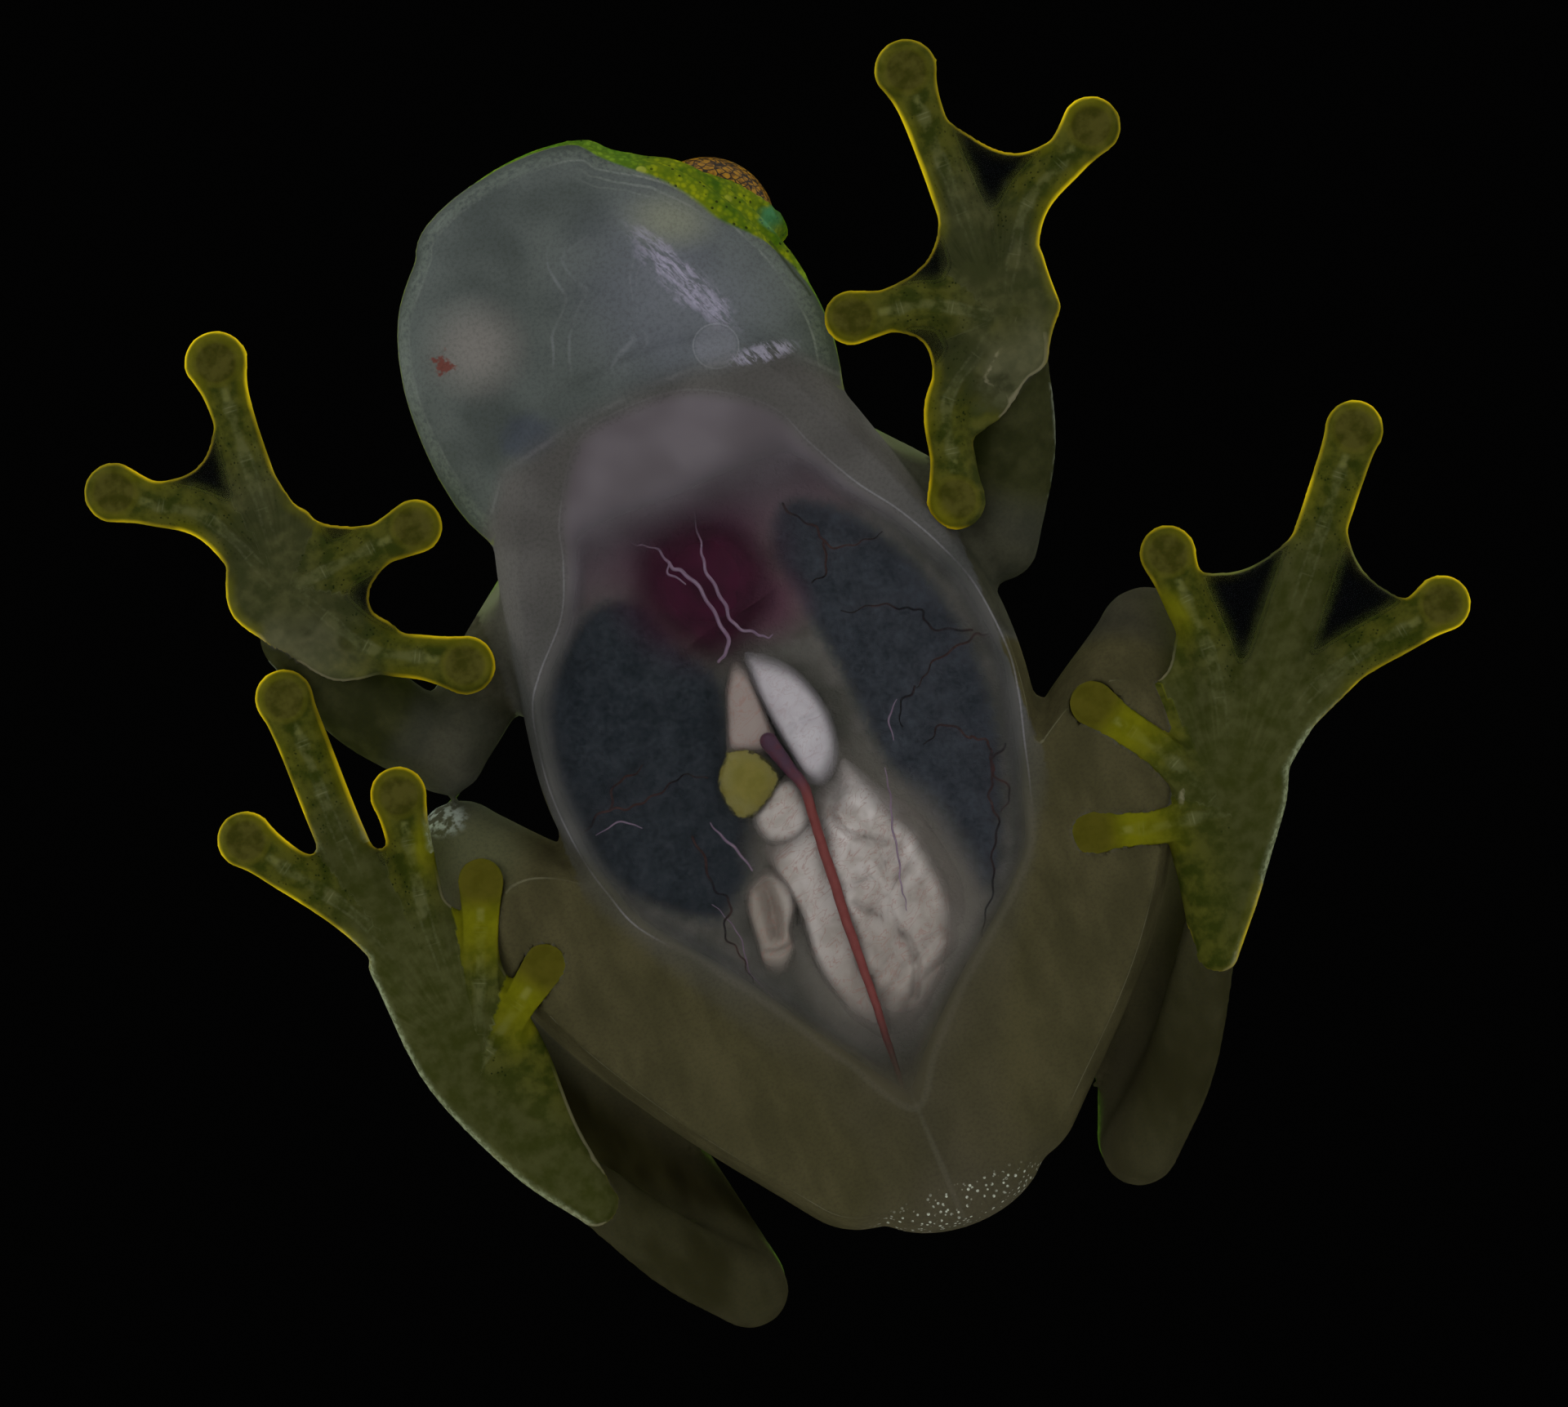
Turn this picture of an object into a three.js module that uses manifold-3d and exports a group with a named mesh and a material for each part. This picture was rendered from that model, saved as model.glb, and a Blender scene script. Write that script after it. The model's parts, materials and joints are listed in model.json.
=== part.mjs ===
// A glass frog at life size, flat on its belly with its hands and feet spread, as touching solids.
// Units are millimetres. The frog faces -Y, its left side is +X, and it rests on the plane Z = 0.
import * as THREE from "three";
import { mergeVertices } from "three/addons/utils/BufferGeometryUtils.js";
import Module from "manifold-3d";

const wasm = await Module();
wasm.setup();

// Driving dimensions
const GAP = 0.3; // air between neighbouring solids
const UP = new THREE.Vector3(0, 0, 1);

const BODY = {
  neckY: -7.8,
  ventY: 10.1,
  spineX: [0.05, 0.2, 0.42, 0.42, 0.4, 0.4], // the spine bends a little to the frog's left
  widestZ: [1.4, 1.4, 1.35, 1.3, 1.2, 1.1],
  halfWidth: [3.7, 4.7, 5.4, 4.85, 3.2, 2.0],
  rise: [3.2, 3.85, 4.25, 3.9, 2.8, 1.7], // from the widest level up to the back
  drop: [1.7, 2.7, 3.3, 3.0, 2.3, 1.6], // from there down, pressed wide and flat by the floor
  endCap: 1.3,
};

const HEAD = {
  neck: [0.1, -7.0],
  yaw: 8, // degrees, snout towards the frog's right
  roll: 4, // degrees, crown towards the frog's left
  neckCut: -0.4, // where head and body part, forward of the neck point
  forward: [-1.1, 0.5, 2.1, 3.6, 4.9, 5.95],
  aside: [-0.1, -0.1, -0.2, -0.33, -0.42, -0.45], // the snout leans to the frog's right
  halfWidth: [4.05, 4.5, 4.5, 4.17, 3.5, 2.35],
  mouthZ: [1.6, 1.6, 1.6, 1.6, 1.65, 1.75],
  rise: [3.3, 3.4, 3.3, 2.9, 2.2, 1.3],
  drop: [1.4, 1.35, 1.32, 1.25, 1.1, 0.85],
  snoutCap: 0.8,
  mouthSlit: 0.14,
  mouthDepth: 0.3,
  mouthCorner: 1.3,
};

const EYE = {
  radius: 1.5,
  forward: 3.55,
  side: 2.95,
  height: 3.7,
  lidThickness: 0.25,
  lidOpening: -0.15, // how far the lids reach round the eye, along its gaze
  gaze: [0.7, 0.62, 0.35], // outwards, forwards, up
};

const NOSTRIL = { radius: 0.16, depth: 0.5, forward: 6.5, side: 0.72, height: 2.85 };
const EAR = { radius: 0.42, depth: 0.22, forward: 1.15, side: 4.05, height: 2.75 };

// Shared sizes of the limbs, from the joint nearest the body to the next
const UPPER_ARM = { halfWidth: [1.15, 0.95, 0.85], rise: [1.05, 0.9, 0.8] };
const FOREARM = { halfWidth: [0.88, 1.0, 0.72], rise: [0.82, 0.85, 0.6] };
const THIGH = {
  halfWidth: [1.75, 2.0, 1.85, 1.05],
  rise: [1.5, 1.6, 1.45, 0.95],
  drop: [2.4, 2.6, 2.5, 1.2], // pressed on the floor but for the knee
};
const SHANK = { halfWidth: [0.95, 1.28, 1.2, 0.85], rise: [0.9, 1.1, 1.0, 0.75] };
const TARSUS = { halfWidth: [0.85, 0.78, 0.6], rise: [0.72, 0.6, 0.5] };

const HAND = {
  palm: { halfWidth: [0.8, 1.35, 1.15], rise: [0.5, 0.52, 0.48] },
  root: [0.62, 0.6, 0.66, 0.6],
  neck: [0.5, 0.46, 0.48, 0.48],
  disc: [0.65, 0.6, 0.7, 0.66],
  webs: [
    { from: 0.4, to: 0.55, sag: 0.5 },
    { from: 0.7, to: 0.45, sag: 0.4 },
    { from: 0.66, to: 0.76, sag: 0.1 },
  ],
};

const FOOT = {
  sole: { halfWidth: [0.5, 0.92, 1.35, 1.1], rise: [0.42, 0.5, 0.52, 0.46] },
  root: [0.45, 0.5, 0.62, 0.66, 0.62],
  neck: [0.38, 0.4, 0.5, 0.56, 0.5],
  disc: [0.47, 0.5, 0.62, 0.64, 0.63],
  webs: [
    { from: 0.62, to: 0.5, sag: 0.4 },
    { from: 0.78, to: 0.55, sag: 0.25 },
    { from: 0.85, to: 0.68, sag: 0.02 },
    { from: 0.72, to: 0.8, sag: 0.08 },
  ],
};

const DIGIT = {
  rootStart: 0.3,
  middle: 0.5, // share of the way out
  discStart: 0.85, // the neck of the disc lies this far before its centre
  centreZ: [0.42, 0.38, 0.34, 0.28],
  rise: [0.48, 0.42, 0.4, 0.4],
};
const WEB_THICKNESS = 0.5;

// The pose, one entry a side. A digit is the centre of its disc and how far its middle bows to the
// left of the straight line from the hub, seen from above.
const POSE = {
  left: {
    shoulder: [3.5, -5.0, 2.45],
    arm: [4.95, -3.65, 2.25],
    elbow: [6.2, -2.2, 1.7],
    forearm: [7.2, -4.1, 1.5],
    wrist: [8.0, -6.0, 0.8],
    palm: [7.95, -6.75],
    palmEnds: [[8.05, -5.3], [8.1, -8.0]],
    fingers: [[5.64, -3.35, 0.65], [4.95, -7.82, 0.25], [7.95, -12.36, 0], [11.23, -9.82, -0.5]],
    hip: [2.0, 8.9, 1.4],
    thigh: [[4.5, 6.0, 1.5], [6.5, 3.2, 1.75]],
    knee: [8.35, 0.85, 2.2],
    shank: [[7.75, 3.6, 2.85], [6.15, 7.4, 2.75]],
    heel: [4.35, 11.0, 2.05],
    tarsus: [5.85, 9.7, 1.15],
    ankle: [7.45, 7.3, 0.6],
    sole: [8.7, 5.0],
    solePath: [[7.35, 7.8], [8.0, 6.4], [8.8, 4.6], [10.0, 3.1]],
    toes: [
      [5.8, 4.4, -0.1],
      [6.8, 1.8, 0.1],
      [9.48, -0.63, 0.4],
      [14.19, -1.69, 0],
      [14.6, 2.5, -0.6],
    ],
  },
  right: {
    shoulder: [-3.2, -4.7, 2.45],
    arm: [-4.95, -3.35, 2.25],
    elbow: [-6.65, -2.2, 1.6],
    forearm: [-7.9, -3.9, 1.55],
    wrist: [-8.8, -5.7, 0.8],
    palm: [-8.5, -6.7],
    palmEnds: [[-8.7, -5.4], [-8.4, -8.1]],
    fingers: [[-5.5, -3.82, 0.45], [-5.45, -7.0, 0], [-8.18, -11.82, 0], [-11.23, -10.0, 0.5]],
    hip: [-1.4, 9.0, 1.4],
    thigh: [[-3.5, 5.8, 1.5], [-5.35, 2.9, 1.75]],
    knee: [-7.05, -0.15, 2.2],
    shank: [[-6.75, 3.4, 2.85], [-5.75, 7.5, 2.75]],
    heel: [-4.65, 10.85, 2.05],
    tarsus: [-5.85, 9.65, 1.15],
    ankle: [-7.25, 7.4, 0.6],
    sole: [-8.3, 4.3],
    solePath: [[-7.0, 8.1], [-7.7, 6.4], [-8.25, 4.0], [-8.9, 1.4]],
    toes: [
      [-6.23, 2.82, 0],
      [-6.86, 0.64, 0],
      [-7.86, -1.73, -0.2],
      [-9.41, -4.55, -0.4],
      [-11.27, -2.0, 0.5],
    ],
  },
};

const COLOURS = {
  skin: new THREE.MeshStandardMaterial({ color: 0x8fa86a, roughness: 0.35, metalness: 0 }),
  limb: new THREE.MeshStandardMaterial({ color: 0x97a350, roughness: 0.35, metalness: 0 }),
  digit: new THREE.MeshStandardMaterial({ color: 0xb0a326, roughness: 0.35, metalness: 0 }),
  eye: new THREE.MeshStandardMaterial({ color: 0xb08a2a, roughness: 0.1, metalness: 0 }),
};

// Turns a closed geometry into a solid that can be joined and cut.
function solidOf(geometry) {
  const bare = geometry.index ? geometry.toNonIndexed() : geometry.clone();
  bare.deleteAttribute("normal");
  bare.deleteAttribute("uv");
  const merged = mergeVertices(bare, 1e-4);
  return new wasm.Manifold(
    new wasm.Mesh({
      numProp: 3,
      vertProperties: new Float32Array(merged.attributes.position.array),
      triVerts: new Uint32Array(merged.index.array),
    }),
  );
}

// The largest closed surface of a solid, without the loose scraps that a cut can leave.
function largest(solid) {
  const pieces = solid.decompose();
  return pieces.reduce((a, b) => (b.volume() > a.volume() ? b : a));
}

function meshOf(name, solid, material) {
  const { vertProperties, triVerts } = largest(solid).getMesh();
  const geometry = new THREE.BufferGeometry();
  geometry.setAttribute("position", new THREE.BufferAttribute(vertProperties, 3));
  geometry.setIndex(new THREE.BufferAttribute(triVerts, 1));
  geometry.computeVertexNormals();
  const mesh = new THREE.Mesh(geometry, material);
  mesh.name = name;
  return mesh;
}

function smoothCurve(points) {
  return new THREE.CatmullRomCurve3(points, false, "catmullrom", 0.5);
}

// A closed skin of elliptic rings along a path, with rounded ends. Widths and heights are given at the
// path's points. Whatever would fall under the floor is pressed flat on it.
function tube(options) {
  const { path, halfWidth, rise, drop = rise, cap, grow = 0 } = options;
  const { sides = 14, steps = 7, capRings = 3 } = options;
  const line = smoothCurve(path);
  const sizes = smoothCurve(path.map((_, i) => new THREE.Vector3(halfWidth[i], rise[i], drop[i])));
  const positions = [];
  const rings = [];
  const addRing = (centre, tangent, size) => {
    const side = new THREE.Vector3().crossVectors(tangent, UP).normalize();
    const up = new THREE.Vector3().crossVectors(side, tangent);
    const ring = [];
    for (let k = 0; k < sides; k++) {
      const angle = (2 * Math.PI * k) / sides;
      const lift = Math.sin(angle) * (Math.sin(angle) > 0 ? size.y : size.z);
      const p = centre.clone();
      p.addScaledVector(side, Math.cos(angle) * size.x).addScaledVector(up, lift);
      ring.push(positions.length / 3);
      positions.push(p.x, p.y, Math.max(p.z, 0));
    }
    rings.push(ring);
  };
  const grown = (t) => sizes.getPoint(t).addScalar(grow);
  const addCap = (t, outwards, order) => {
    const centre = line.getPoint(t);
    const tangent = line.getTangent(t);
    const size = grown(t);
    const length = (cap ?? size.x - grow) + grow;
    for (const k of order) {
      const angle = (k / (capRings + 1)) * (Math.PI / 2);
      const at = centre.clone().addScaledVector(tangent, outwards * length * Math.sin(angle));
      addRing(at, tangent, size.clone().multiplyScalar(Math.cos(angle)));
    }
    return centre.addScaledVector(tangent, outwards * length);
  };
  const inner = [...Array(capRings).keys()].map((k) => k + 1);
  const first = addCap(0, -1, [...inner].reverse());
  for (let i = 0; i <= steps; i++) {
    addRing(line.getPoint(i / steps), line.getTangent(i / steps), grown(i / steps));
  }
  const last = addCap(1, 1, inner);
  const index = [];
  for (let r = 0; r + 1 < rings.length; r++) {
    for (let k = 0; k < sides; k++) {
      const [a, b] = [rings[r][k], rings[r][(k + 1) % sides]];
      const [c, d] = [rings[r + 1][k], rings[r + 1][(k + 1) % sides]];
      index.push(a, c, b, b, c, d);
    }
  }
  for (const [ring, pole, flip] of [[rings[0], first, false], [rings.at(-1), last, true]]) {
    const tip = positions.length / 3;
    positions.push(pole.x, pole.y, Math.max(pole.z, 0));
    for (let k = 0; k < sides; k++) {
      const next = ring[(k + 1) % sides];
      index.push(...(flip ? [tip, next, ring[k]] : [tip, ring[k], next]));
    }
  }
  const geometry = new THREE.BufferGeometry();
  geometry.setAttribute("position", new THREE.Float32BufferAttribute(positions, 3));
  geometry.setIndex(index);
  return solidOf(geometry);
}

const vectors = (points) => points.map((p) => new THREE.Vector3(...p));

function limb(points, sizes, grow = 0) {
  return tube({ path: vectors(points), ...sizes, grow });
}

// A finger or toe runs from the hub to the centre of its disc, bowed a little sideways.
function digitPath(hub, [x, y, bow]) {
  const [start, end] = [new THREE.Vector2(...hub), new THREE.Vector2(x, y)];
  const along = end.clone().sub(start).normalize();
  const middle = start.clone().lerp(end, DIGIT.middle);
  middle.add(new THREE.Vector2(-along.y, along.x).multiplyScalar(bow));
  const neck = end.clone().sub(middle).setLength(-DIGIT.discStart).add(end);
  start.addScaledVector(along, DIGIT.rootStart);
  return [start, middle, neck, end].map((p, i) => [p.x, p.y, DIGIT.centreZ[i]]);
}

function digit(path, root, neck, disc, grow) {
  return tube({
    path: vectors(path),
    halfWidth: [root, neck, neck, disc],
    rise: DIGIT.rise,
    sides: 10,
    steps: 6,
    capRings: 2,
    grow,
  });
}

// The web between two digits: a sheet from the hub out to a free edge that sags towards the hub.
function web(hub, paths, { from, to, sag }, grow) {
  const along = (path, share) => smoothCurve(vectors(path)).getPointAt(share);
  const [a, b] = [along(paths[0], from), along(paths[1], to)];
  const bend = a.clone().lerp(b, 0.5).lerp(new THREE.Vector3(...hub, 0), sag);
  const outline = new THREE.Shape();
  outline.moveTo(hub[0], hub[1]);
  outline.lineTo(a.x, a.y);
  outline.quadraticCurveTo(bend.x, bend.y, b.x, b.y);
  outline.closePath();
  const depth = WEB_THICKNESS + grow;
  return solidOf(new THREE.ExtrudeGeometry(outline, { depth, bevelEnabled: false, curveSegments: 4 }));
}

// The digits of a hand or foot with the webs between them.
function digitsAndWebs(hub, ends, sizes, grow) {
  const paths = ends.map((end) => digitPath(hub, end));
  const digits = paths.map((p, i) => digit(p, sizes.root[i], sizes.neck[i], sizes.disc[i], grow));
  const webs = sizes.webs.map((w, i) => web(hub, [paths[i], paths[i + 1]], w, grow));
  return [...digits, ...webs];
}

function handForm(pose, grow = 0) {
  const [back, front] = pose.palmEnds;
  const palm = tube({
    path: vectors([[...back, 0.5], [...pose.palm, 0.45], [...front, 0.42]]),
    ...HAND.palm,
    cap: 0.4,
    grow,
  });
  const rest = digitsAndWebs(pose.palm, pose.fingers, HAND, grow);
  return wasm.Manifold.union([palm, ...rest]);
}

function footForm(pose, grow = 0) {
  const sole = tube({
    path: vectors(pose.solePath.map((p) => [...p, 0.42])),
    ...FOOT.sole,
    cap: 0.4,
    grow,
  });
  const rest = digitsAndWebs(pose.sole, pose.toes, FOOT, grow);
  return wasm.Manifold.union([sole, ...rest]);
}

const forearmForm = (p, grow = 0) => limb([p.elbow, p.forearm, p.wrist], FOREARM, grow);
const upperArmForm = (p, grow = 0) => limb([p.shoulder, p.arm, p.elbow], UPPER_ARM, grow);
const thighForm = (p, grow = 0) => limb([p.hip, ...p.thigh, p.knee], THIGH, grow);
const shankForm = (p, grow = 0) => limb([p.knee, ...p.shank, p.heel], SHANK, grow);

function tarsusForm(p, grow = 0) {
  const heel = [p.heel[0], p.heel[1] + 0.15, p.heel[2] - 0.55];
  return limb([heel, p.tarsus, p.ankle], TARSUS, grow);
}

function bodyForm(grow = 0) {
  const last = BODY.spineX.length - 1;
  const path = BODY.spineX.map((x, i) => {
    return [x, THREE.MathUtils.lerp(BODY.neckY, BODY.ventY, i / last), BODY.widestZ[i]];
  });
  return tube({
    path: vectors(path),
    halfWidth: BODY.halfWidth,
    rise: BODY.rise,
    drop: BODY.drop,
    sides: 26,
    steps: 14,
    cap: BODY.endCap,
    grow,
  });
}

// Places of the head are given forward of the neck, to the frog's left, and up.
const headTurn = new THREE.Quaternion()
  .setFromAxisAngle(UP, THREE.MathUtils.degToRad(-HEAD.yaw))
  .multiply(
    new THREE.Quaternion().setFromAxisAngle(
      new THREE.Vector3(0, 1, 0),
      THREE.MathUtils.degToRad(HEAD.roll),
    ),
  );
const headDirection = (forward, left, up) => {
  return new THREE.Vector3(left, -forward, up).applyQuaternion(headTurn);
};
const headPoint = (forward, left, up) => {
  return headDirection(forward, left, up).add(new THREE.Vector3(HEAD.neck[0], HEAD.neck[1], 0));
};

function headForm(grow = 0) {
  return tube({
    path: HEAD.forward.map((f, i) => headPoint(f, HEAD.aside[i], HEAD.mouthZ[i])),
    halfWidth: HEAD.halfWidth,
    rise: HEAD.rise,
    drop: HEAD.drop,
    sides: 30,
    steps: 11,
    cap: HEAD.snoutCap,
    grow,
  });
}

const sides = { left: 1, right: -1 };
const eyePoint = (sign) => headPoint(EYE.forward, sign * EYE.side, EYE.height);
const gazeOf = (sign) => headDirection(EYE.gaze[1], sign * EYE.gaze[0], EYE.gaze[2]).normalize();

function ball(centre, radius) {
  const geometry = new THREE.SphereGeometry(radius, 20, 12);
  geometry.translate(centre.x, centre.y, centre.z);
  return solidOf(geometry);
}

// A straight pin from one point towards another, for small pits.
function pin(from, direction, radius, length) {
  const geometry = new THREE.CylinderGeometry(radius, radius, length, 10);
  const turn = new THREE.Quaternion().setFromUnitVectors(new THREE.Vector3(0, 1, 0), direction);
  geometry.applyQuaternion(turn);
  geometry.translate(from.x, from.y, from.z);
  return solidOf(geometry);
}

// The lids: a hood round the eye, open where the eye looks out.
function lids(sign) {
  const centre = eyePoint(sign);
  const gaze = gazeOf(sign);
  const hood = ball(centre, EYE.radius + GAP + EYE.lidThickness);
  const offset = -(centre.dot(gaze) + EYE.lidOpening);
  return hood.trimByPlane([-gaze.x, -gaze.y, -gaze.z], offset);
}

// A thin slit round the jaw, from one corner of the mouth to the other.
function mouthSlit() {
  const forwards = headDirection(1, 0, 0);
  const reach = HEAD.forward.at(-1) + 2;
  const width = 2 * Math.max(...HEAD.halfWidth) + 2;
  const slab = new THREE.BoxGeometry(width, reach - HEAD.mouthCorner, HEAD.mouthSlit);
  slab.applyQuaternion(headTurn);
  const middle = headPoint((HEAD.mouthCorner + reach) / 2, 0, HEAD.mouthZ[0]);
  slab.translate(middle.x, middle.y, middle.z);
  const core = headForm(-HEAD.mouthDepth);
  const behind = forwards.dot(headPoint(HEAD.mouthCorner, 0, 0));
  return solidOf(slab).subtract(core).trimByPlane(forwards.toArray(), behind);
}

// Where head and body meet, half the gap to either side.
const neckNormal = headDirection(1, 0, 0);
const neckOffset = neckNormal.dot(headPoint(HEAD.neckCut, 0, HEAD.mouthZ[0]));

function headSolid() {
  const pits = Object.values(sides).flatMap((sign) => [
    ball(eyePoint(sign), EYE.radius + GAP),
    pin(
      headPoint(NOSTRIL.forward, sign * NOSTRIL.side, NOSTRIL.height),
      headDirection(0.7, sign * 0.5, 0.5).normalize(),
      NOSTRIL.radius,
      NOSTRIL.depth,
    ),
    pin(
      headPoint(EAR.forward, sign * EAR.side, EAR.height),
      headDirection(-0.1, sign, 0.45).normalize(),
      EAR.radius,
      EAR.depth,
    ),
  ]);
  return wasm.Manifold.union([headForm(), ...Object.values(sides).map(lids)])
    .subtract(wasm.Manifold.union(pits))
    .subtract(mouthSlit())
    .trimByPlane(neckNormal.toArray(), neckOffset + GAP / 2);
}

function bodySolid() {
  const back = neckNormal.clone().negate();
  return bodyForm().trimByPlane(back.toArray(), -neckOffset + GAP / 2);
}

// Each piece nearer the body is cut back by the gap from the pieces that lie against it.
function sideSolids(p) {
  const clear = (form, ...others) => form.subtract(wasm.Manifold.union(others));
  const hand = handForm(p, GAP);
  const foot = footForm(p, GAP);
  const forearm = forearmForm(p, GAP);
  const shank = shankForm(p, GAP);
  const tarsus = tarsusForm(p, GAP);
  const body = bodyForm(GAP);
  return {
    hand: [handForm(p), COLOURS.digit],
    forearm: [clear(forearmForm(p), hand, foot, body), COLOURS.limb],
    upper_arm: [clear(upperArmForm(p), forearm, hand, body), COLOURS.limb],
    foot: [footForm(p), COLOURS.digit],
    tarsus: [clear(tarsusForm(p), foot, body), COLOURS.limb],
    shank: [clear(shankForm(p), tarsus, foot, body), COLOURS.limb],
    thigh: [clear(thighForm(p), shank, tarsus, foot, body), COLOURS.limb],
  };
}

const frog = new THREE.Group();
frog.add(meshOf("torso", bodySolid(), COLOURS.skin));
frog.add(meshOf("head", headSolid(), COLOURS.skin));
for (const [side, sign] of Object.entries(sides)) {
  frog.add(meshOf(`eye_${side}`, ball(eyePoint(sign), EYE.radius), COLOURS.eye));
  for (const [name, [solid, colour]] of Object.entries(sideSolids(POSE[side]))) {
    frog.add(meshOf(`${name}_${side}`, solid, colour));
  }
}

export default frog;
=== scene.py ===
# %% [markdown]
# This is a life-size glass frog, seen from below through a clear pane, as in the photograph.
# The solid model gives the size and the place of every part. It is loaded first and never changed:
# each piece made here is set round it, in metres, in the same frame. The frog faces -Y, its left
# side is +X, and it rests on the plane Z = 0.

# %% Load the solid model
import json

import bpy
import numpy as np
from mathutils import Matrix, Vector

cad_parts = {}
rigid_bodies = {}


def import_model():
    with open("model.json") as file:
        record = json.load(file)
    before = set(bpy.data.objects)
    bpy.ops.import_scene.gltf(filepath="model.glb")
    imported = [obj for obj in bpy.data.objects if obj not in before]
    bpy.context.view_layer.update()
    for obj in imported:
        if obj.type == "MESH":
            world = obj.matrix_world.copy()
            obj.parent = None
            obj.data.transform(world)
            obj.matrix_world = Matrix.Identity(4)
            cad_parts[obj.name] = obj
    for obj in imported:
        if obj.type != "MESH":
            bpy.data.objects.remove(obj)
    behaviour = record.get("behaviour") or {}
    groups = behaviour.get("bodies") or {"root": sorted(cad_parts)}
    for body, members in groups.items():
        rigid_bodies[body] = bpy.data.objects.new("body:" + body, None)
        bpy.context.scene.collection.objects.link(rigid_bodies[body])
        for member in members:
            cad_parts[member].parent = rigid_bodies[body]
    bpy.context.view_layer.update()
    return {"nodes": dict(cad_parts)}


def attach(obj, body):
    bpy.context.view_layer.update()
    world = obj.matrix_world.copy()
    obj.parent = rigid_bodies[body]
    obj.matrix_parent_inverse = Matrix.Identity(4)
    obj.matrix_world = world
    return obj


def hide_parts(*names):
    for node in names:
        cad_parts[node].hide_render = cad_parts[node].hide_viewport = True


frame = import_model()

MM = 0.001
TAU = 2 * np.pi
UP = np.array([0.0, 0.0, 1.0])

# %% [markdown]
# Soft bodies are easiest to describe as a line with a girth. A smooth curve is laid through a few
# named points, and rings are carried along it. Blender's own skin modifier or metaballs could do
# this too, but a written formula keeps every width a number that can be measured on the photograph.

# %% Curves and rings


def smooth_rows(rows, share):
    """Rows of numbers joined by a smooth curve. Between two rows the value is the cubic through both
    whose slope at each is half the step between its neighbours. The share runs from 0 to 1."""
    rows = np.asarray(rows, float)
    ends = np.vstack([2 * rows[0] - rows[1], rows, 2 * rows[-1] - rows[-2]])
    place = np.clip(share, 0, 1) * (len(rows) - 1)
    span = np.minimum(place.astype(int), len(rows) - 2)
    s = (place - span)[:, None]
    a, b, c, d = (ends[span + k] for k in range(4))
    return 0.5 * (2 * b + (c - a) * s + (2 * a - 5 * b + 4 * c - d) * s**2 + (3 * b - a - 3 * c + d) * s**3)


def unit(vectors):
    return vectors / np.linalg.norm(vectors, axis=-1, keepdims=True)


def ring_quads(rows, columns, closed=False):
    """Quads of a grid whose columns close on themselves, and whose rows do too if it is closed."""
    row, column = np.meshgrid(np.arange(rows if closed else rows - 1), np.arange(columns), indexing="ij")
    below, after = (row + 1) % rows, (column + 1) % columns
    return np.stack([row * columns + column, row * columns + after,
                     below * columns + after, below * columns + column], -1).reshape(-1, 4).tolist()


def closed_grid(rows, columns):
    """Rings with a fan on a pole at either end. The two poles come after the rings' own points."""
    k = np.arange(columns)
    after = (k + 1) % columns
    top = (rows - 1) * columns
    low = np.stack([np.full(columns, rows * columns), after, k], -1)
    high = np.stack([np.full(columns, rows * columns + 1), top + k, top + after], -1)
    return ring_quads(rows, columns) + low.tolist() + high.tolist()


def tube(path, width, rise, drop=None, cap=None, rings=36, sides=28, dome_rings=7):
    """A limb. Each ring is an ellipse across the path: width times the cosine to the side, and rise or
    drop times the sine up or down. Past either end the rings shrink by a cosine while they move on by
    a sine, which closes the limb with a dome as long as the cap."""
    drop = rise if drop is None else drop
    rows = smooth_rows(np.column_stack([path, width, rise, drop]), np.linspace(0, 1, rings))
    tangent = unit(np.gradient(rows[:, :3], axis=0))
    across = unit(np.cross(tangent, UP))
    above = np.cross(across, tangent)
    dome = np.linspace(0, np.pi / 2, dome_rings + 1)[1:]
    which = np.r_[np.zeros(dome_rings, int), np.arange(rings), np.full(dome_rings, rings - 1)]
    tilt = np.r_[-dome[::-1], np.zeros(rings), dome]
    length = rows[which, 3] if cap is None else np.full(len(which), cap)
    centre = rows[which, :3] + tangent[which] * (np.sin(tilt) * length)[:, None]
    size = rows[which, 3:] * np.cos(tilt)[:, None]
    turn = np.arange(sides) * TAU / sides
    aside = size[:, :1] * np.cos(turn)
    lift = np.where(np.sin(turn) > 0, size[:, 1:2], size[:, 2:3]) * np.sin(turn)
    points = (centre[:, None] + aside[..., None] * across[which][:, None]
              + lift[..., None] * above[which][:, None])
    inside = points[1:-1].reshape(-1, 3)
    poles = np.stack([centre[0], centre[-1]])
    return np.vstack([inside, poles]), closed_grid(len(which) - 2, sides)


def joined(shapes):
    """Several shapes as one list of points and faces."""
    points, faces = [], []
    for shape_points, shape_faces in shapes:
        start = sum(len(p) for p in points)
        points.append(shape_points)
        faces += [[start + corner for corner in face] for face in shape_faces]
    return np.vstack(points), faces


def put(name, points, faces, smooth=True):
    """An object from points in millimetres, with its place in its mesh. The volume of a closed shape
    is the sum of a sixth of each triangle's triple product, and a negative one is turned outwards."""
    mesh = bpy.data.meshes.new(name)
    mesh.from_pydata((np.asarray(points) * MM).tolist(), [], faces)
    mesh.polygons.foreach_set("use_smooth", np.full(len(mesh.polygons), smooth))
    mesh.update()
    corners = np.empty(len(mesh.loop_triangles) * 3, int)
    mesh.loop_triangles.foreach_get("vertices", corners)
    a, b, c = np.asarray(points, float)[corners.reshape(-1, 3)].transpose(1, 0, 2)
    if np.einsum("ij,ij->i", a, np.cross(b, c)).sum() < 0:
        mesh.flip_normals()
    piece = bpy.data.objects.new(name, mesh)
    bpy.context.scene.collection.objects.link(piece)
    return piece


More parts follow.
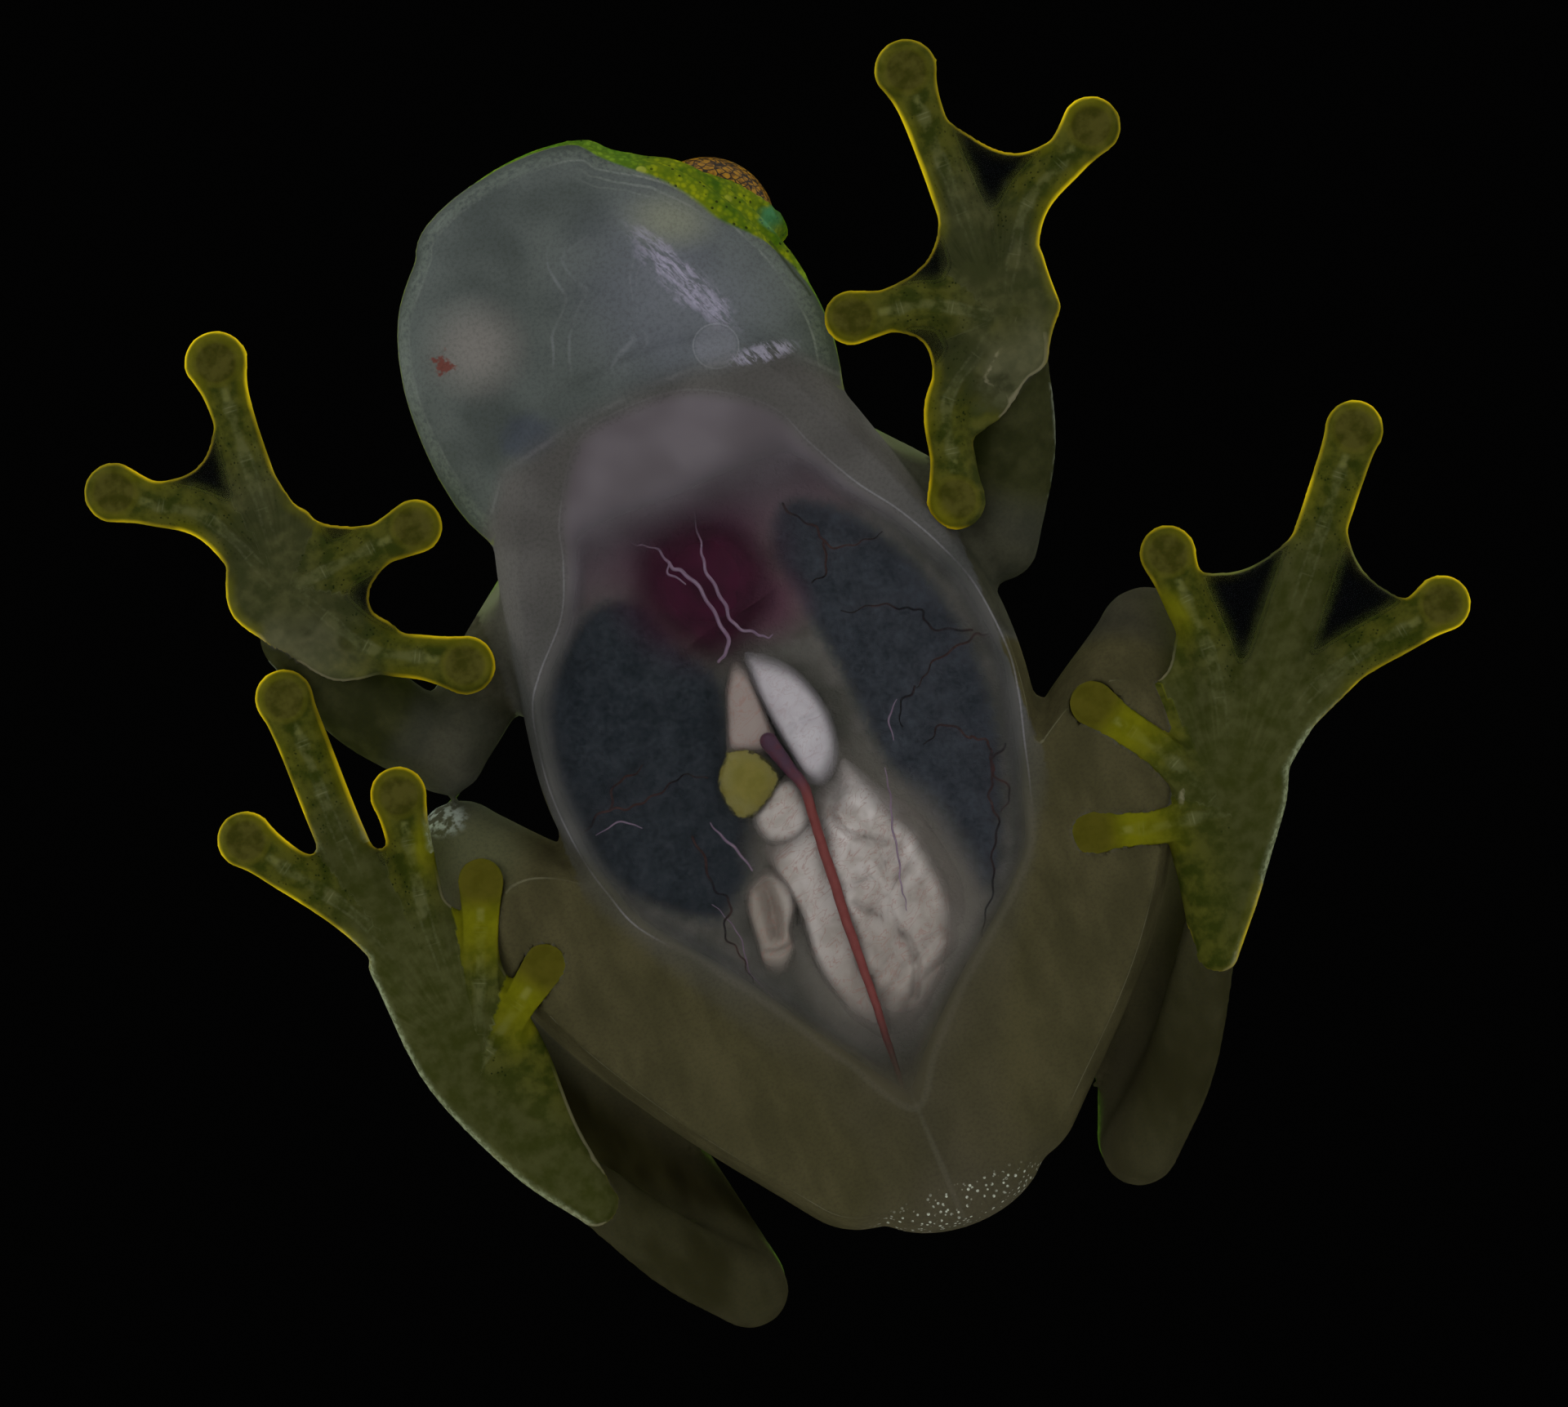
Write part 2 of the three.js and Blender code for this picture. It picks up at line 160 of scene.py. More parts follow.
def points_of(piece):
    """The points of a piece in millimetres, as an array."""
    flat = np.empty(len(piece.data.vertices) * 3)
    piece.data.vertices.foreach_get("co", flat)
    return flat.reshape(-1, 3) / MM


def set_points(piece, points):
    piece.data.vertices.foreach_set("co", (points * MM).ravel())
    piece.data.update()


# %% [markdown]
# The frog's measures, in millimetres, are the ones that the solid model was made with. A frog this
# small weighs a gram, so where belly, thighs, hands and feet meet the pane they lie quite flat on it.

# %% The frog's measures
TRUNK = dict(
    path=[(0.05, -7.8, 1.4), (0.2, -4.22, 1.4), (0.42, -0.64, 1.35), (0.42, 2.94, 1.3),
          (0.4, 6.52, 1.2), (0.4, 10.1, 1.1)],
    width=[3.7, 4.7, 5.4, 4.9, 3.4, 2.05],
    rise=[3.2, 3.85, 4.25, 3.9, 2.8, 1.7],
    drop=[1.9, 3.4, 4.6, 4.0, 2.8, 1.9],
    cap=1.3,
)
NECK = np.array([0.1, -7.0, 0.0])
HEAD_YAW = np.radians(-8)  # the snout turns to the frog's right
HEAD_ROLL = np.radians(4)  # the crown leans to its left
HEAD = dict(
    forward=[-1.1, 0.5, 2.1, 3.6, 4.9, 5.95],
    aside=[-0.1, -0.1, -0.2, -0.33, -0.42, -0.45],
    width=[4.05, 4.5, 4.5, 4.17, 3.5, 2.35],
    mouth=[1.6, 1.6, 1.6, 1.6, 1.65, 1.75],
    rise=[3.3, 3.4, 3.3, 2.9, 2.2, 1.3],
    drop=[1.4, 1.35, 1.32, 1.25, 1.1, 0.85],
    cap=0.8,
)
EYE = dict(radius=1.5, forward=3.55, side=2.95, height=3.7, gaze=(0.7, 0.62, 0.35))
LIMBS = dict(
    upper_arm=dict(width=[1.15, 0.95, 0.85], rise=[1.05, 0.9, 0.8]),
    forearm=dict(width=[0.88, 1.0, 0.72], rise=[0.82, 0.85, 0.6]),
    thigh=dict(width=[1.75, 2.0, 1.85, 1.05], rise=[1.5, 1.6, 1.45, 0.95], drop=[2.4, 2.8, 2.7, 1.2]),
    shank=dict(width=[0.95, 1.28, 1.2, 0.85], rise=[0.9, 1.1, 1.0, 0.75]),
    tarsus=dict(width=[0.85, 0.78, 0.6], rise=[0.72, 0.6, 0.5]),
)
PALM = dict(width=[0.8, 1.35, 0.95], rise=[0.5, 0.52, 0.48])
SOLE = dict(width=[0.5, 0.92, 1.35, 0.95], rise=[0.42, 0.5, 0.52, 0.46])
SOLE_HEIGHT = 0.42  # of the sole's middle line
FINGERS = dict(root=[0.62, 0.6, 0.66, 0.6], neck=[0.5, 0.46, 0.48, 0.48], disc=[0.65, 0.6, 0.7, 0.66])
TOES = dict(root=[0.45, 0.5, 0.62, 0.66, 0.62], neck=[0.38, 0.4, 0.5, 0.56, 0.5],
            disc=[0.47, 0.5, 0.62, 0.64, 0.63])
PRESSED = 0.26  # how much lower the first two toes lie, flat between the thigh and the pane
DIGIT = dict(start=0.3, middle=0.5, disc_start=0.85, centre=[0.42, 0.38, 0.34, 0.28],
             rise=[0.48, 0.42, 0.4, 0.4])
POSE = dict(
    left=dict(
        shoulder=(3.5, -5.0, 2.45), arm=(4.95, -3.65, 2.25), elbow=(6.2, -2.2, 1.7),
        forearm=(7.2, -4.1, 1.5), wrist=(8.0, -6.0, 0.8), palm=(7.95, -6.75),
        palm_ends=((7.85, -5.65), (8.42, -7.95)),
        fingers=((5.64, -3.35, 0.65), (4.95, -7.82, 0.25), (7.95, -12.36, 0), (11.23, -9.82, -0.5)),
        hip=(2.0, 8.9, 1.4), thigh=((4.5, 6.0, 1.5), (6.5, 3.2, 1.75)), knee=(8.48, 0.85, 2.2),
        shank=((7.75, 3.6, 2.85), (6.15, 7.4, 2.75)), heel=(4.35, 11.0, 2.05),
        tarsus=(5.85, 9.7, 1.15), ankle=(7.45, 7.3, 0.6), hub=(8.7, 5.0),
        sole=((7.35, 7.8), (8.0, 6.4), (8.8, 4.6), (10.0, 3.1)),
        toes=((5.8, 4.4, -0.1), (6.8, 1.8, 0.1), (9.48, -0.63, 0.4), (14.19, -1.69, 0), (14.6, 2.5, -0.6)),
    ),
    right=dict(
        shoulder=(-3.2, -4.7, 2.45), arm=(-5.05, -3.5, 2.25), elbow=(-6.65, -2.2, 1.6),
        forearm=(-7.9, -3.9, 1.55), wrist=(-8.8, -5.7, 0.8), palm=(-8.5, -6.7),
        palm_ends=((-8.55, -5.75), (-8.4, -8.1)),
        fingers=((-5.5, -3.82, 0.45), (-5.45, -7.0, 0), (-8.18, -11.82, 0), (-11.23, -10.0, 0.5)),
        hip=(-1.4, 9.0, 1.4), thigh=((-3.5, 5.8, 1.5), (-5.35, 2.9, 1.75)), knee=(-7.05, -0.15, 2.2),
        shank=((-6.75, 3.4, 2.85), (-5.75, 7.5, 2.75)), heel=(-4.65, 10.85, 2.05),
        tarsus=(-5.85, 9.65, 1.15), ankle=(-7.25, 7.4, 0.6), hub=(-8.3, 4.3),
        sole=((-7.0, 8.1), (-7.7, 6.4), (-8.25, 4.0), (-8.9, 1.4)),
        toes=((-6.23, 2.82, 0), (-6.86, 0.64, 0), (-7.86, -1.73, -0.2), (-9.41, -4.55, -0.4),
              (-11.27, -2.0, 0.5)),
    ),
)
SIDES = dict(left=1, right=-1)

# %% [markdown]
# The head has its own turned frame: it is yawed to the frog's right and rolled a little, so that the
# left eye shows past the jaw. Places on it are given forward of the neck, to its left, and up.

# %% The head's frame


def head_direction(forward, left, up):
    """A direction of the head in the frog's frame: rolled about Y, then yawed about Z."""
    x, y, z = left, -forward, up
    x, z = x * np.cos(HEAD_ROLL) + z * np.sin(HEAD_ROLL), z * np.cos(HEAD_ROLL) - x * np.sin(HEAD_ROLL)
    x, y = x * np.cos(HEAD_YAW) - y * np.sin(HEAD_YAW), x * np.sin(HEAD_YAW) + y * np.cos(HEAD_YAW)
    return np.array([x, y, z])


def head_point(forward, left, up):
    return NECK + head_direction(forward, left, up)


def eye_centre(sign):
    return head_point(EYE["forward"], sign * EYE["side"], EYE["height"])


def eye_gaze(sign):
    out, ahead, up = EYE["gaze"]
    return unit(head_direction(ahead, sign * out, up))


# %% [markdown]
# Hands and feet are a palm or a sole with slim digits that end in round discs. Each digit is a tube
# through four points: its root at the hub, its bowed middle, the neck of the disc and the disc.

# %% Digits


def digit_path(hub, end):
    """Root, middle, neck and disc. The middle is set off to the left of the straight line by the bow."""
    x, y, bow = end
    start, tip = np.array(hub, float), np.array([x, y], float)
    along = unit(tip - start)
    middle = start + (tip - start) * DIGIT["middle"] + np.array([-along[1], along[0]]) * bow
    neck = tip - unit(tip - middle) * DIGIT["disc_start"]
    flat = np.array([start + along * DIGIT["start"], middle, neck, tip])
    return np.column_stack([flat, DIGIT["centre"]])


def digit(path, root, neck, disc):
    return tube(path, [root, neck, neck, disc], DIGIT["rise"], rings=30, sides=20)


# %% [markdown]
# The webs are thin skin stretched between neighbouring fingers and toes. Each is a fan: its free edge is
# a smooth curve measured on the photograph, carried on at both ends into the digit towards its tip, and
# every row is that curve drawn in towards the hub. The sheets are melted into the digits.

# %% Webs
WEB_FACES = (0.46, 0.21)  # heights of a web's upper and lower face, in mm
WEB_EDGES = dict(
    hand_left=[[(5.5, -7.33), (5.8, -7.15), (6.12, -6.9), (6.24, -6.54), (6.14, -6.06), (5.9, -5.43)],
               [(5.4, -8.1), (6.0, -8.16), (6.5, -8.22), (7.05, -8.5), (7.45, -9.1), (7.6, -9.9)],
               [(8.3, -11.2), (8.75, -10.55), (9.2, -10.05), (9.75, -9.8), (10.5, -9.85)],
               [(8.7, -6.1), (8.34, -5.63), (7.83, -5.1), (7.25, -4.7), (6.72, -4.54), (6.3, -4.4)]],
    hand_right=[[(-6.0, -6.6), (-6.6, -6.3), (-6.9, -6.0), (-6.95, -5.6), (-6.6, -5.1)],
                [(-6.1, -7.3), (-6.75, -7.5), (-7.36, -7.85), (-7.72, -8.45), (-7.9, -9.2)],
                [(-8.4, -11.1), (-8.75, -10.5), (-9.15, -10.0), (-9.7, -9.8), (-10.4, -9.9)],
                [(-9.1, -5.75), (-8.78, -5.1), (-8.3, -4.55), (-7.7, -4.35), (-7.0, -4.3)]],
    foot_left=[[(6.7, 4.1), (7.2, 3.75), (7.4, 3.4), (7.3, 2.9)],
               [(7.4, 2.1), (8.1, 1.9), (8.6, 1.7), (9.0, 1.1)],
               [(9.7, -0.15), (10.25, 0.12), (10.9, 0.28), (11.6, 0.17), (12.25, -0.1), (12.8, -0.5)],
               [(13.4, -0.5), (13.28, 0.25), (13.22, 0.9), (13.42, 1.55), (13.9, 2.15)]],
    foot_right=[[(-6.4, 3.1), (-6.95, 2.9), (-7.1, 2.5), (-7.0, 1.9)],
                [(-7.1, 1.3), (-7.5, 1.1), (-7.75, 0.7), (-7.85, 0.1)],
                [(-8.05, -1.0), (-8.45, -0.7), (-8.85, -0.95), (-9.1, -1.6), (-9.3, -2.6)],
                [(-9.5, -2.5), (-9.55, -1.7), (-9.85, -1.2), (-10.4, -1.35), (-10.9, -1.8)]],
)


def slab(top, bottom):
    """A closed sheet from two grids of points: both faces and a strip round their border."""
    rows, columns = top.shape[:2]
    index = np.arange(rows * columns).reshape(rows, columns)
    quads = np.stack([index[:-1, :-1], index[:-1, 1:], index[1:, 1:], index[1:, :-1]], -1).reshape(-1, 4)
    rim = np.r_[index[0, :], index[1:, -1], index[-1, -2::-1], index[-2:0:-1, 0]]
    after = np.roll(rim, -1)
    count = rows * columns
    border = np.stack([after, rim, rim + count, after + count], -1)
    faces = quads.tolist() + (quads[:, ::-1] + count).tolist() + border.tolist()
    return np.vstack([top.reshape(-1, 3), bottom.reshape(-1, 3)]), faces


def web_sheets(hub, edges, paths, rows=12, columns=40):
    """A share v from the hub out: the plan is the hub plus v times the way to the free edge."""
    lines = np.stack([smooth_rows(path, np.linspace(0, 1, 60))[:, :2] for path in paths])
    v = np.linspace(0.05, 1, rows)[:, None, None]
    sheets = []
    for edge in edges:
        near = [np.linalg.norm(lines - end, axis=2).argmin() for end in (edge[0], edge[-1])]
        ends = [lines[place // 60, min(place % 60 + 7, 59)] for place in near]
        curve = smooth_rows([ends[0], *edge, ends[1]], np.linspace(0, 1, columns))
        plan = np.asarray(hub) + (curve - np.asarray(hub)) * v
        faces = [np.concatenate([plan, np.full((rows, columns, 1), z)], -1) for z in WEB_FACES]
        sheets.append(slab(*faces))
    return sheets


# %% Palms and soles


def on_floor(points, height):
    return np.column_stack([points, np.broadcast_to(height, len(points))])


def with_digits(base, hub, paths, sizes, edges):
    """A palm or a sole with its digits and webs, and the digits' paths."""
    digits = [digit(path, *size) for path, size in zip(paths, zip(*sizes.values()))]
    return [base, *digits, *web_sheets(hub, edges, paths)], paths


def hand_parts(side):
    pose = POSE[side]
    back, front = pose["palm_ends"]
    palm = tube(on_floor([back, pose["palm"], front], [0.5, 0.45, 0.42]), cap=0.4, **PALM)
    paths = [digit_path(pose["palm"], end) for end in pose["fingers"]]
    return with_digits(palm, pose["palm"], paths, FINGERS, WEB_EDGES[f"hand_{side}"])


def foot_parts(side):
    pose = POSE[side]
    sole = tube(on_floor(pose["sole"], SOLE_HEIGHT), cap=0.4, **SOLE)
    paths = [digit_path(pose["hub"], end) for end in pose["toes"]]
    for path in paths[:2]:
        path[:, 2] -= PRESSED
    return with_digits(sole, pose["hub"], paths, TOES, WEB_EDGES[f"foot_{side}"])


# %% The limbs


def limb_paths(pose):
    """The joints that each part of a limb runs through."""
    x, y, z = pose["heel"]
    return dict(
        upper_arm=[pose["shoulder"], pose["arm"], pose["elbow"]],
        forearm=[pose["elbow"], pose["forearm"], pose["wrist"]],
        thigh=[pose["hip"], *pose["thigh"], pose["knee"]],
        shank=[pose["knee"], *pose["shank"], pose["heel"]],
        tarsus=[(x, y + 0.15, z - 0.55), pose["tarsus"], pose["ankle"]],
    )


def head_shape():
    """The head is a tube like the limbs, carried along its own turned line."""
    path = [head_point(f, a, m) for f, a, m in zip(HEAD["forward"], HEAD["aside"], HEAD["mouth"])]
    return tube(path, HEAD["width"], HEAD["rise"], HEAD["drop"], cap=HEAD["cap"], rings=60, sides=64)


def ball(centre, radius, rows=28, columns=40):
    """A sphere about Z: the radius times the sine and cosine of a polar and a turning angle."""
    polar = np.linspace(0, np.pi, rows + 2)[1:-1]
    turn = np.arange(columns) * TAU / columns
    shape = np.stack([np.sin(polar)[:, None] * np.cos(turn), np.sin(polar)[:, None] * np.sin(turn),
                      np.repeat(np.cos(polar)[:, None], columns, 1)], -1).reshape(-1, 3)
    poles = np.array([[0, 0, 1.0], [0, 0, -1.0]])
    faces = [face[::-1] for face in closed_grid(rows, columns)]
    return np.vstack([shape, poles]) * radius + centre, faces


def ring(centre, axis, radius, girth, steps=64, sides=16):
    """A round rim about an axis: at each point of the circle, the girth times the cosine of a turning
    angle goes outwards and the girth times its sine goes along the axis."""
    across = unit(np.cross(axis, UP))
    above = np.cross(across, axis)
    turn = np.arange(steps)[:, None] * TAU / steps
    roll = np.arange(sides)[None, :, None] * TAU / sides
    out = across * np.cos(turn) + above * np.sin(turn)
    points = (centre + out * radius)[:, None] + girth * (out[:, None] * np.cos(roll) + axis * np.sin(roll))
    return points.reshape(-1, 3), ring_quads(steps, sides, closed=True)


LIDS = dict(offset=0.42, over=0.16, rim=0.065, girth=0.19)  # round the eyeball, in mm
body_shapes = [tube(rings=90, sides=72, **TRUNK), head_shape()]
for pose in POSE.values():
    paths = limb_paths(pose)
    body_shapes += [tube(paths[part], **LIMBS[part]) for part in LIMBS]
for sign in SIDES.values():
    centre, gaze = eye_centre(sign), eye_gaze(sign)
    body_shapes.append(ball(centre - gaze * LIDS["offset"], EYE["radius"] + LIDS["over"]))
    body_shapes.append(ring(centre + gaze * LIDS["offset"], gaze, EYE["radius"] + LIDS["rim"], LIDS["girth"]))
hands_and_feet = {}
for side in SIDES:
    hands_and_feet[f"hand_{side}"] = hand_parts(side)
    hands_and_feet[f"foot_{side}"] = foot_parts(side)
print("shapes in the body:", len(body_shapes))

# %% [markdown]
# Skin has no seams, so the shapes are melted into one. A voxel remesh turns overlapping closed shapes
# into a single even surface. Its small steps are then relaxed away: every point moves part of the way
# to the mean of its neighbours, and a second, slightly stronger move back keeps the girth.

# %% One surface
BODY_VOXEL = 0.145  # in mm
PAW_VOXEL = 0.095  # finer, for the digits and webs


def bake(piece):
    """Turns a piece's modifiers into its own mesh."""
    bpy.context.view_layer.update()
    baked = bpy.data.meshes.new_from_object(piece.evaluated_get(bpy.context.evaluated_depsgraph_get()))
    piece.modifiers.clear()
    piece.data = baked


def voxel_union(name, shapes, voxel):
    """The shapes as one even surface, remeshed at 1 unit to the millimetre."""
    points, faces = joined(shapes)
    lump = put(name, points / MM, faces)
    remesh = lump.modifiers.new("melt", "REMESH")
    remesh.mode = "VOXEL"
    remesh.voxel_size = voxel
    bake(lump)
    lump.data.name = name
    set_points(lump, points_of(lump) * MM)
    lump.data.polygons.foreach_set("use_smooth", np.ones(len(lump.data.polygons), bool))
    return lump


def edges_of(piece):
    flat = np.empty(len(piece.data.edges) * 2, int)
    piece.data.edges.foreach_get("vertices", flat)
    return flat.reshape(-1, 2)


def mean_of_neighbours(points, edges):
    """The mean place of the points that share an edge with each point."""
    a, b = edges.T
    count = np.bincount(edges.ravel(), minlength=len(points))
    total = [np.bincount(a, points[b, k], len(points)) + np.bincount(b, points[a, k], len(points))
             for k in range(points.shape[1])]
    return np.column_stack(total) / count[:, None]


def blurred(values, edges, rounds):
    """Moves each value half of the way to its neighbours' mean, each round."""
    values = np.asarray(values, float).reshape(-1, 1)
    for _ in range(rounds):
        values = 0.5 * values + 0.5 * mean_of_neighbours(values, edges)
    return values[:, 0]


def relaxed(points, edges, rounds, weight=1.0):
    """Moves points half of the way to their neighbours' mean, then slightly further back, each round."""
    for _ in range(rounds):
        for amount in (0.5, -0.52):
            points = points + amount * weight * (mean_of_neighbours(points, edges) - points)
    return points


body = voxel_union("body", body_shapes, BODY_VOXEL)
body_edges = edges_of(body)
body_points = relaxed(points_of(body), body_edges, rounds=8)
print("body points:", len(body_points))

# %% [markdown]
# The hands and feet lie on the pane under the limbs, so the thighs and upper arms are lifted over the
# digits beneath them. The height of every digit's upper side is worked out round its path, and the
# limb's points that fall below it are raised to it.

# %% Lift the limbs over the digits


def nearest_on_path(points, path, samples=60):
    """For each point, how far it is in plan from a path, and the share of the path where it is nearest."""
    line = smooth_rows(path, np.linspace(0, 1, samples))[:, :2]
    gap = np.linalg.norm(points[:, None, :2] - line[None], axis=2)
    nearest = gap.argmin(1)
    return gap[np.arange(len(points)), nearest], nearest / (samples - 1)


def ease(value, low, high):
    """0 below low, 1 above high, and 3s squared less 2s cubed between them."""
    s = np.clip((value - low) / (high - low), 0, 1)
    return s * s * (3 - 2 * s)


def beside_tube(points, path, width):
    """How far in plan each point is outside a tube, negative inside it."""
    gap, share = nearest_on_path(points, path)
    return gap - smooth_rows(np.asarray(width, float)[:, None], share)[:, 0]


def digit_widths(name, k):
    sizes = FINGERS if name.startswith("hand") else TOES
    return [sizes["root"][k], sizes["neck"][k], sizes["neck"][k], sizes["disc"][k]]


DIGIT_TOP = 0.98  # how high the skin above a digit is lifted


def digit_roof(points):
    """How high the digits reach under each point: a plateau over the digit that falls away beside it."""
    roof = np.full(len(points), -9.0)
    for name, (_, paths) in hands_and_feet.items():
        for k, path in enumerate(paths):
            slope = 1 - ease(beside_tube(points, path, digit_widths(name, k)), -0.2, 0.02)
            roof = np.maximum(roof, np.where(slope > 0, DIGIT_TOP * slope, -9.0))
    return roof


roof = digit_roof(body_points)
body_points[:, 2] = np.maximum(body_points[:, 2], roof)
body_points = relaxed(body_points, body_edges, rounds=3)
body_points[:, 2] = np.maximum(body_points[:, 2], roof * 0.97)
set_points(body, body_points)
print("points lifted over the digits:", int((roof > 0).sum()))

# %% Join the hands and feet to the body


def note(piece, name, values):
    """Keeps one number for each point of a piece, for the finishes to read."""
    layer = piece.data.attributes.new(name, "FLOAT", "POINT")
    layer.data.foreach_set("value", np.asarray(values, np.float32))


def noted(piece, name):
    values = np.empty(len(piece.data.vertices), np.float32)
    piece.data.attributes[name].data.foreach_get("value", values)
    return values.astype(float)


extremities = []
for number, (name, (shapes, _)) in enumerate(hands_and_feet.items()):
    limb_end = voxel_union(name, shapes, PAW_VOXEL)
    set_points(limb_end, relaxed(points_of(limb_end), edges_of(limb_end), rounds=5))
    note(limb_end, "paw", np.ones(len(limb_end.data.vertices)))
    note(limb_end, "which", np.full(len(limb_end.data.vertices), number))
    extremities.append(limb_end)
note(body, "paw", np.zeros(len(body.data.vertices)))
note(body, "which", np.full(len(body.data.vertices), -1))


def merge(target, others):
    """Joins closed surfaces where they cross, and keeps only what lies outside both."""
    for other in others:
        joint = target.modifiers.new("join", "BOOLEAN")
        joint.operation = "UNION"
        joint.solver = "MANIFOLD"
        joint.object = other
        bake(target)
        bpy.data.objects.remove(other)


merge(body, extremities)
print("skin points after joining:", len(body.data.vertices))

# %% [markdown]
# The joined skin still shows where the wrists and ankles meet, so it is relaxed most strongly there.
# Small forms of the face are then pushed in or out along the skin's own normals: the line of the
# mouth, the nostrils and the faint rings of the ears. A sculptor would carve them, but a formula puts
# each one exactly where the solid model has it.

# %% Wrists, ankles and face
skin = points_of(body)
skin_edges = edges_of(body)
joints = np.array([pose[joint] for pose in POSE.values() for joint in ("wrist", "ankle")])
to_joint = np.linalg.norm(skin[:, None] - joints[None], axis=2).min(1)
skin = relaxed(skin, skin_edges, rounds=7, weight=np.maximum(ease(-to_joint, -2.1, -1.1), 0.1)[:, None])
paw = blurred(noted(body, "paw"), skin_edges, rounds=24)

HEAD_FRAME = np.stack([head_direction(1, 0, 0), head_direction(0, 1, 0), head_direction(0, 0, 1)], 1)


def in_head(points):
    """Forward, left and up of the neck, in the head's turned frame."""
    return (points - NECK) @ HEAD_FRAME


def along_head(forward, measure):
    return np.interp(forward, HEAD["forward"], HEAD[measure])


def normals_of(piece):
    flat = np.empty(len(piece.data.vertices) * 3, np.float32)
    piece.data.vertices.foreach_get("normal", flat)
    return flat.reshape(-1, 3).astype(float)


set_points(body, skin)
normals = normals_of(body)
forward, left, above = in_head(skin).T
lip = above - along_head(forward, "mouth")
head = ease(forward, -1.4, 0.6) * ease(5.7 - np.abs(left), 0, 0.5) * (1 - paw)
NOSTRIL = dict(forward=6.38, side=0.72, height=2.72, radius=0.24)
EAR = dict(forward=1.15, side=4.15, height=2.75, radius=0.42)


def swell(distance, width):
    """1 at no distance, falling away as e to the minus square of the distance over the width."""
    return np.exp(-(distance / width) ** 2)


def on_face(place, sign):
    return head_point(place["forward"], sign * place["side"], place["height"])


mouth = ease(forward, 1.2, 1.7) * (head > 0.9)
push = (0.05 * swell(lip - 0.24, 0.12) - 0.1 * swell(lip, 0.1)) * mouth
for sign in SIDES.values():
    near = np.linalg.norm(skin - on_face(NOSTRIL, sign), axis=1)
    push += 0.08 * swell(near - NOSTRIL["radius"], 0.1) - 0.24 * swell(near, 0.15)
    near = np.linalg.norm(skin - on_face(EAR, sign), axis=1)
    push += 0.05 * swell(near - EAR["radius"], 0.09) - 0.04 * swell(near, 0.25)
skin = skin + normals * push[:, None]
height = skin[:, 2].copy()
skin[:, 2] = np.maximum(height, 0)
evened = relaxed(skin, skin_edges, rounds=6)
skin[height < 0, :2] = evened[height < 0, :2]
set_points(body, skin)
body.data.polygons.foreach_set("use_smooth", np.ones(len(body.data.polygons), bool))
print("skin resting on the pane:", int((height < 0).sum()), "points")

# %% [markdown]
# The finishes need to know what part of the frog a point of the skin is on. For each limb, the trunk and
# the head, how far outside that shape the point lies gives a share that falls off within half a
# millimetre, so that one colour runs into the next as it does on living skin. The shares, and a few
# measured distances, are kept on the mesh as attributes.

# %% Parts of the skin


def outside_of(points, path, width, rise, drop=None, samples=60):
    """How far outside an elliptical tube each point is, in mm, and its height over the tube's centre
    as a share of the rise."""
    drop = rise if drop is None else drop
    rows = smooth_rows(np.column_stack([path, width, rise, drop]), np.linspace(0, 1, samples))
    low, high = rows[:, :3].min(0) - 5, rows[:, :3].max(0) + 5
    gap, rel = np.full(len(points), 9.0), np.zeros(len(points))
    close = np.flatnonzero(((points > low) & (points < high)).all(1))
    offset = points[close, None] - rows[None, :, :3]
    nearest = (offset**2).sum(2).argmin(1)
    offset = offset[np.arange(len(close)), nearest]
    row = rows[nearest]
    side = np.linalg.norm(offset[:, :2], axis=1)
    tall = np.where(offset[:, 2] > 0, row[:, 4], row[:, 5])
    reach = np.hypot(side / row[:, 3], offset[:, 2] / tall)
    gap[close] = (reach - 1) * row[:, 3]
    rel[close] = offset[:, 2] / row[:, 4]
    return gap, rel


def near_share(gap):
    return swell(np.maximum(gap, 0), 0.55) + 1e-6


before_rest = np.column_stack([skin[:, :2], height])
trunk_gap, trunk_rel = outside_of(before_rest, TRUNK["path"], TRUNK["width"], TRUNK["rise"], TRUNK["drop"])
shares = dict(trunk=near_share(trunk_gap) * (1 - head))
raised = dict(trunk=ease(trunk_rel, -0.02, 0.3))
for part in LIMBS:
    gaps = [outside_of(before_rest, limb_paths(pose)[part], **LIMBS[part]) for pose in POSE.values()]
    nearer = gaps[0][0] < gaps[1][0]
    gap, rel = (np.where(nearer, a, b) for a, b in zip(*gaps))
    shares[part] = near_share(gap) * (1 - head)
    raised[part] = ease(rel, 0.05, 0.65)
shares["head"] = head * 2
green_from = 0.55 * ease(left, 0.3, 2.5) * ease(forward, 1.6, 3.6)
raised["head"] = ease(lip + green_from, -0.02, 0.25) * ease(forward, 0.6, 1.8)
raised["head"] += ease(above, 1.5, 2.2) * (1 - ease(forward, 0.6, 1.8))
total = sum(shares.values())
upper = sum(shares[part] * raised[part] for part in shares) / total
upper = upper * (1 - paw) + ease(height, 0.5, 0.85) * paw
for part in ("head", "upper_arm", "forearm", "thigh", "shank", "tarsus"):
    note(body, part, shares[part] / total * (1 - paw))
note(body, "paw", paw)
note(body, "upper", upper)
note(body, "height", height)
note(body, "lip", np.where((forward > 1.0) & (head > 0.5), lip, 3.0))
print("share of the skin that faces up:", round(float(upper.mean()), 2))

# %% [markdown]
# Some lines on the skin follow an outline: the edge of the belly's flat contact with the pane, the jaw
# and the fold behind the throat. The distance to the nearest point of such an outline is signed by the
# side it lies on. It stays smooth across the line, so that a thin line drawn from it is crisp even on a
# coarse mesh.

# %% Outlines


def loop_through(points, count=480):
    """A smooth closed curve through points."""
    rows = np.asarray(points, float)
    wrapped = np.vstack([rows[-3:], rows, rows[:3]])
    place = 3 + np.arange(count) / count * len(rows)
    return smooth_rows(wrapped, place / (len(wrapped) - 1))


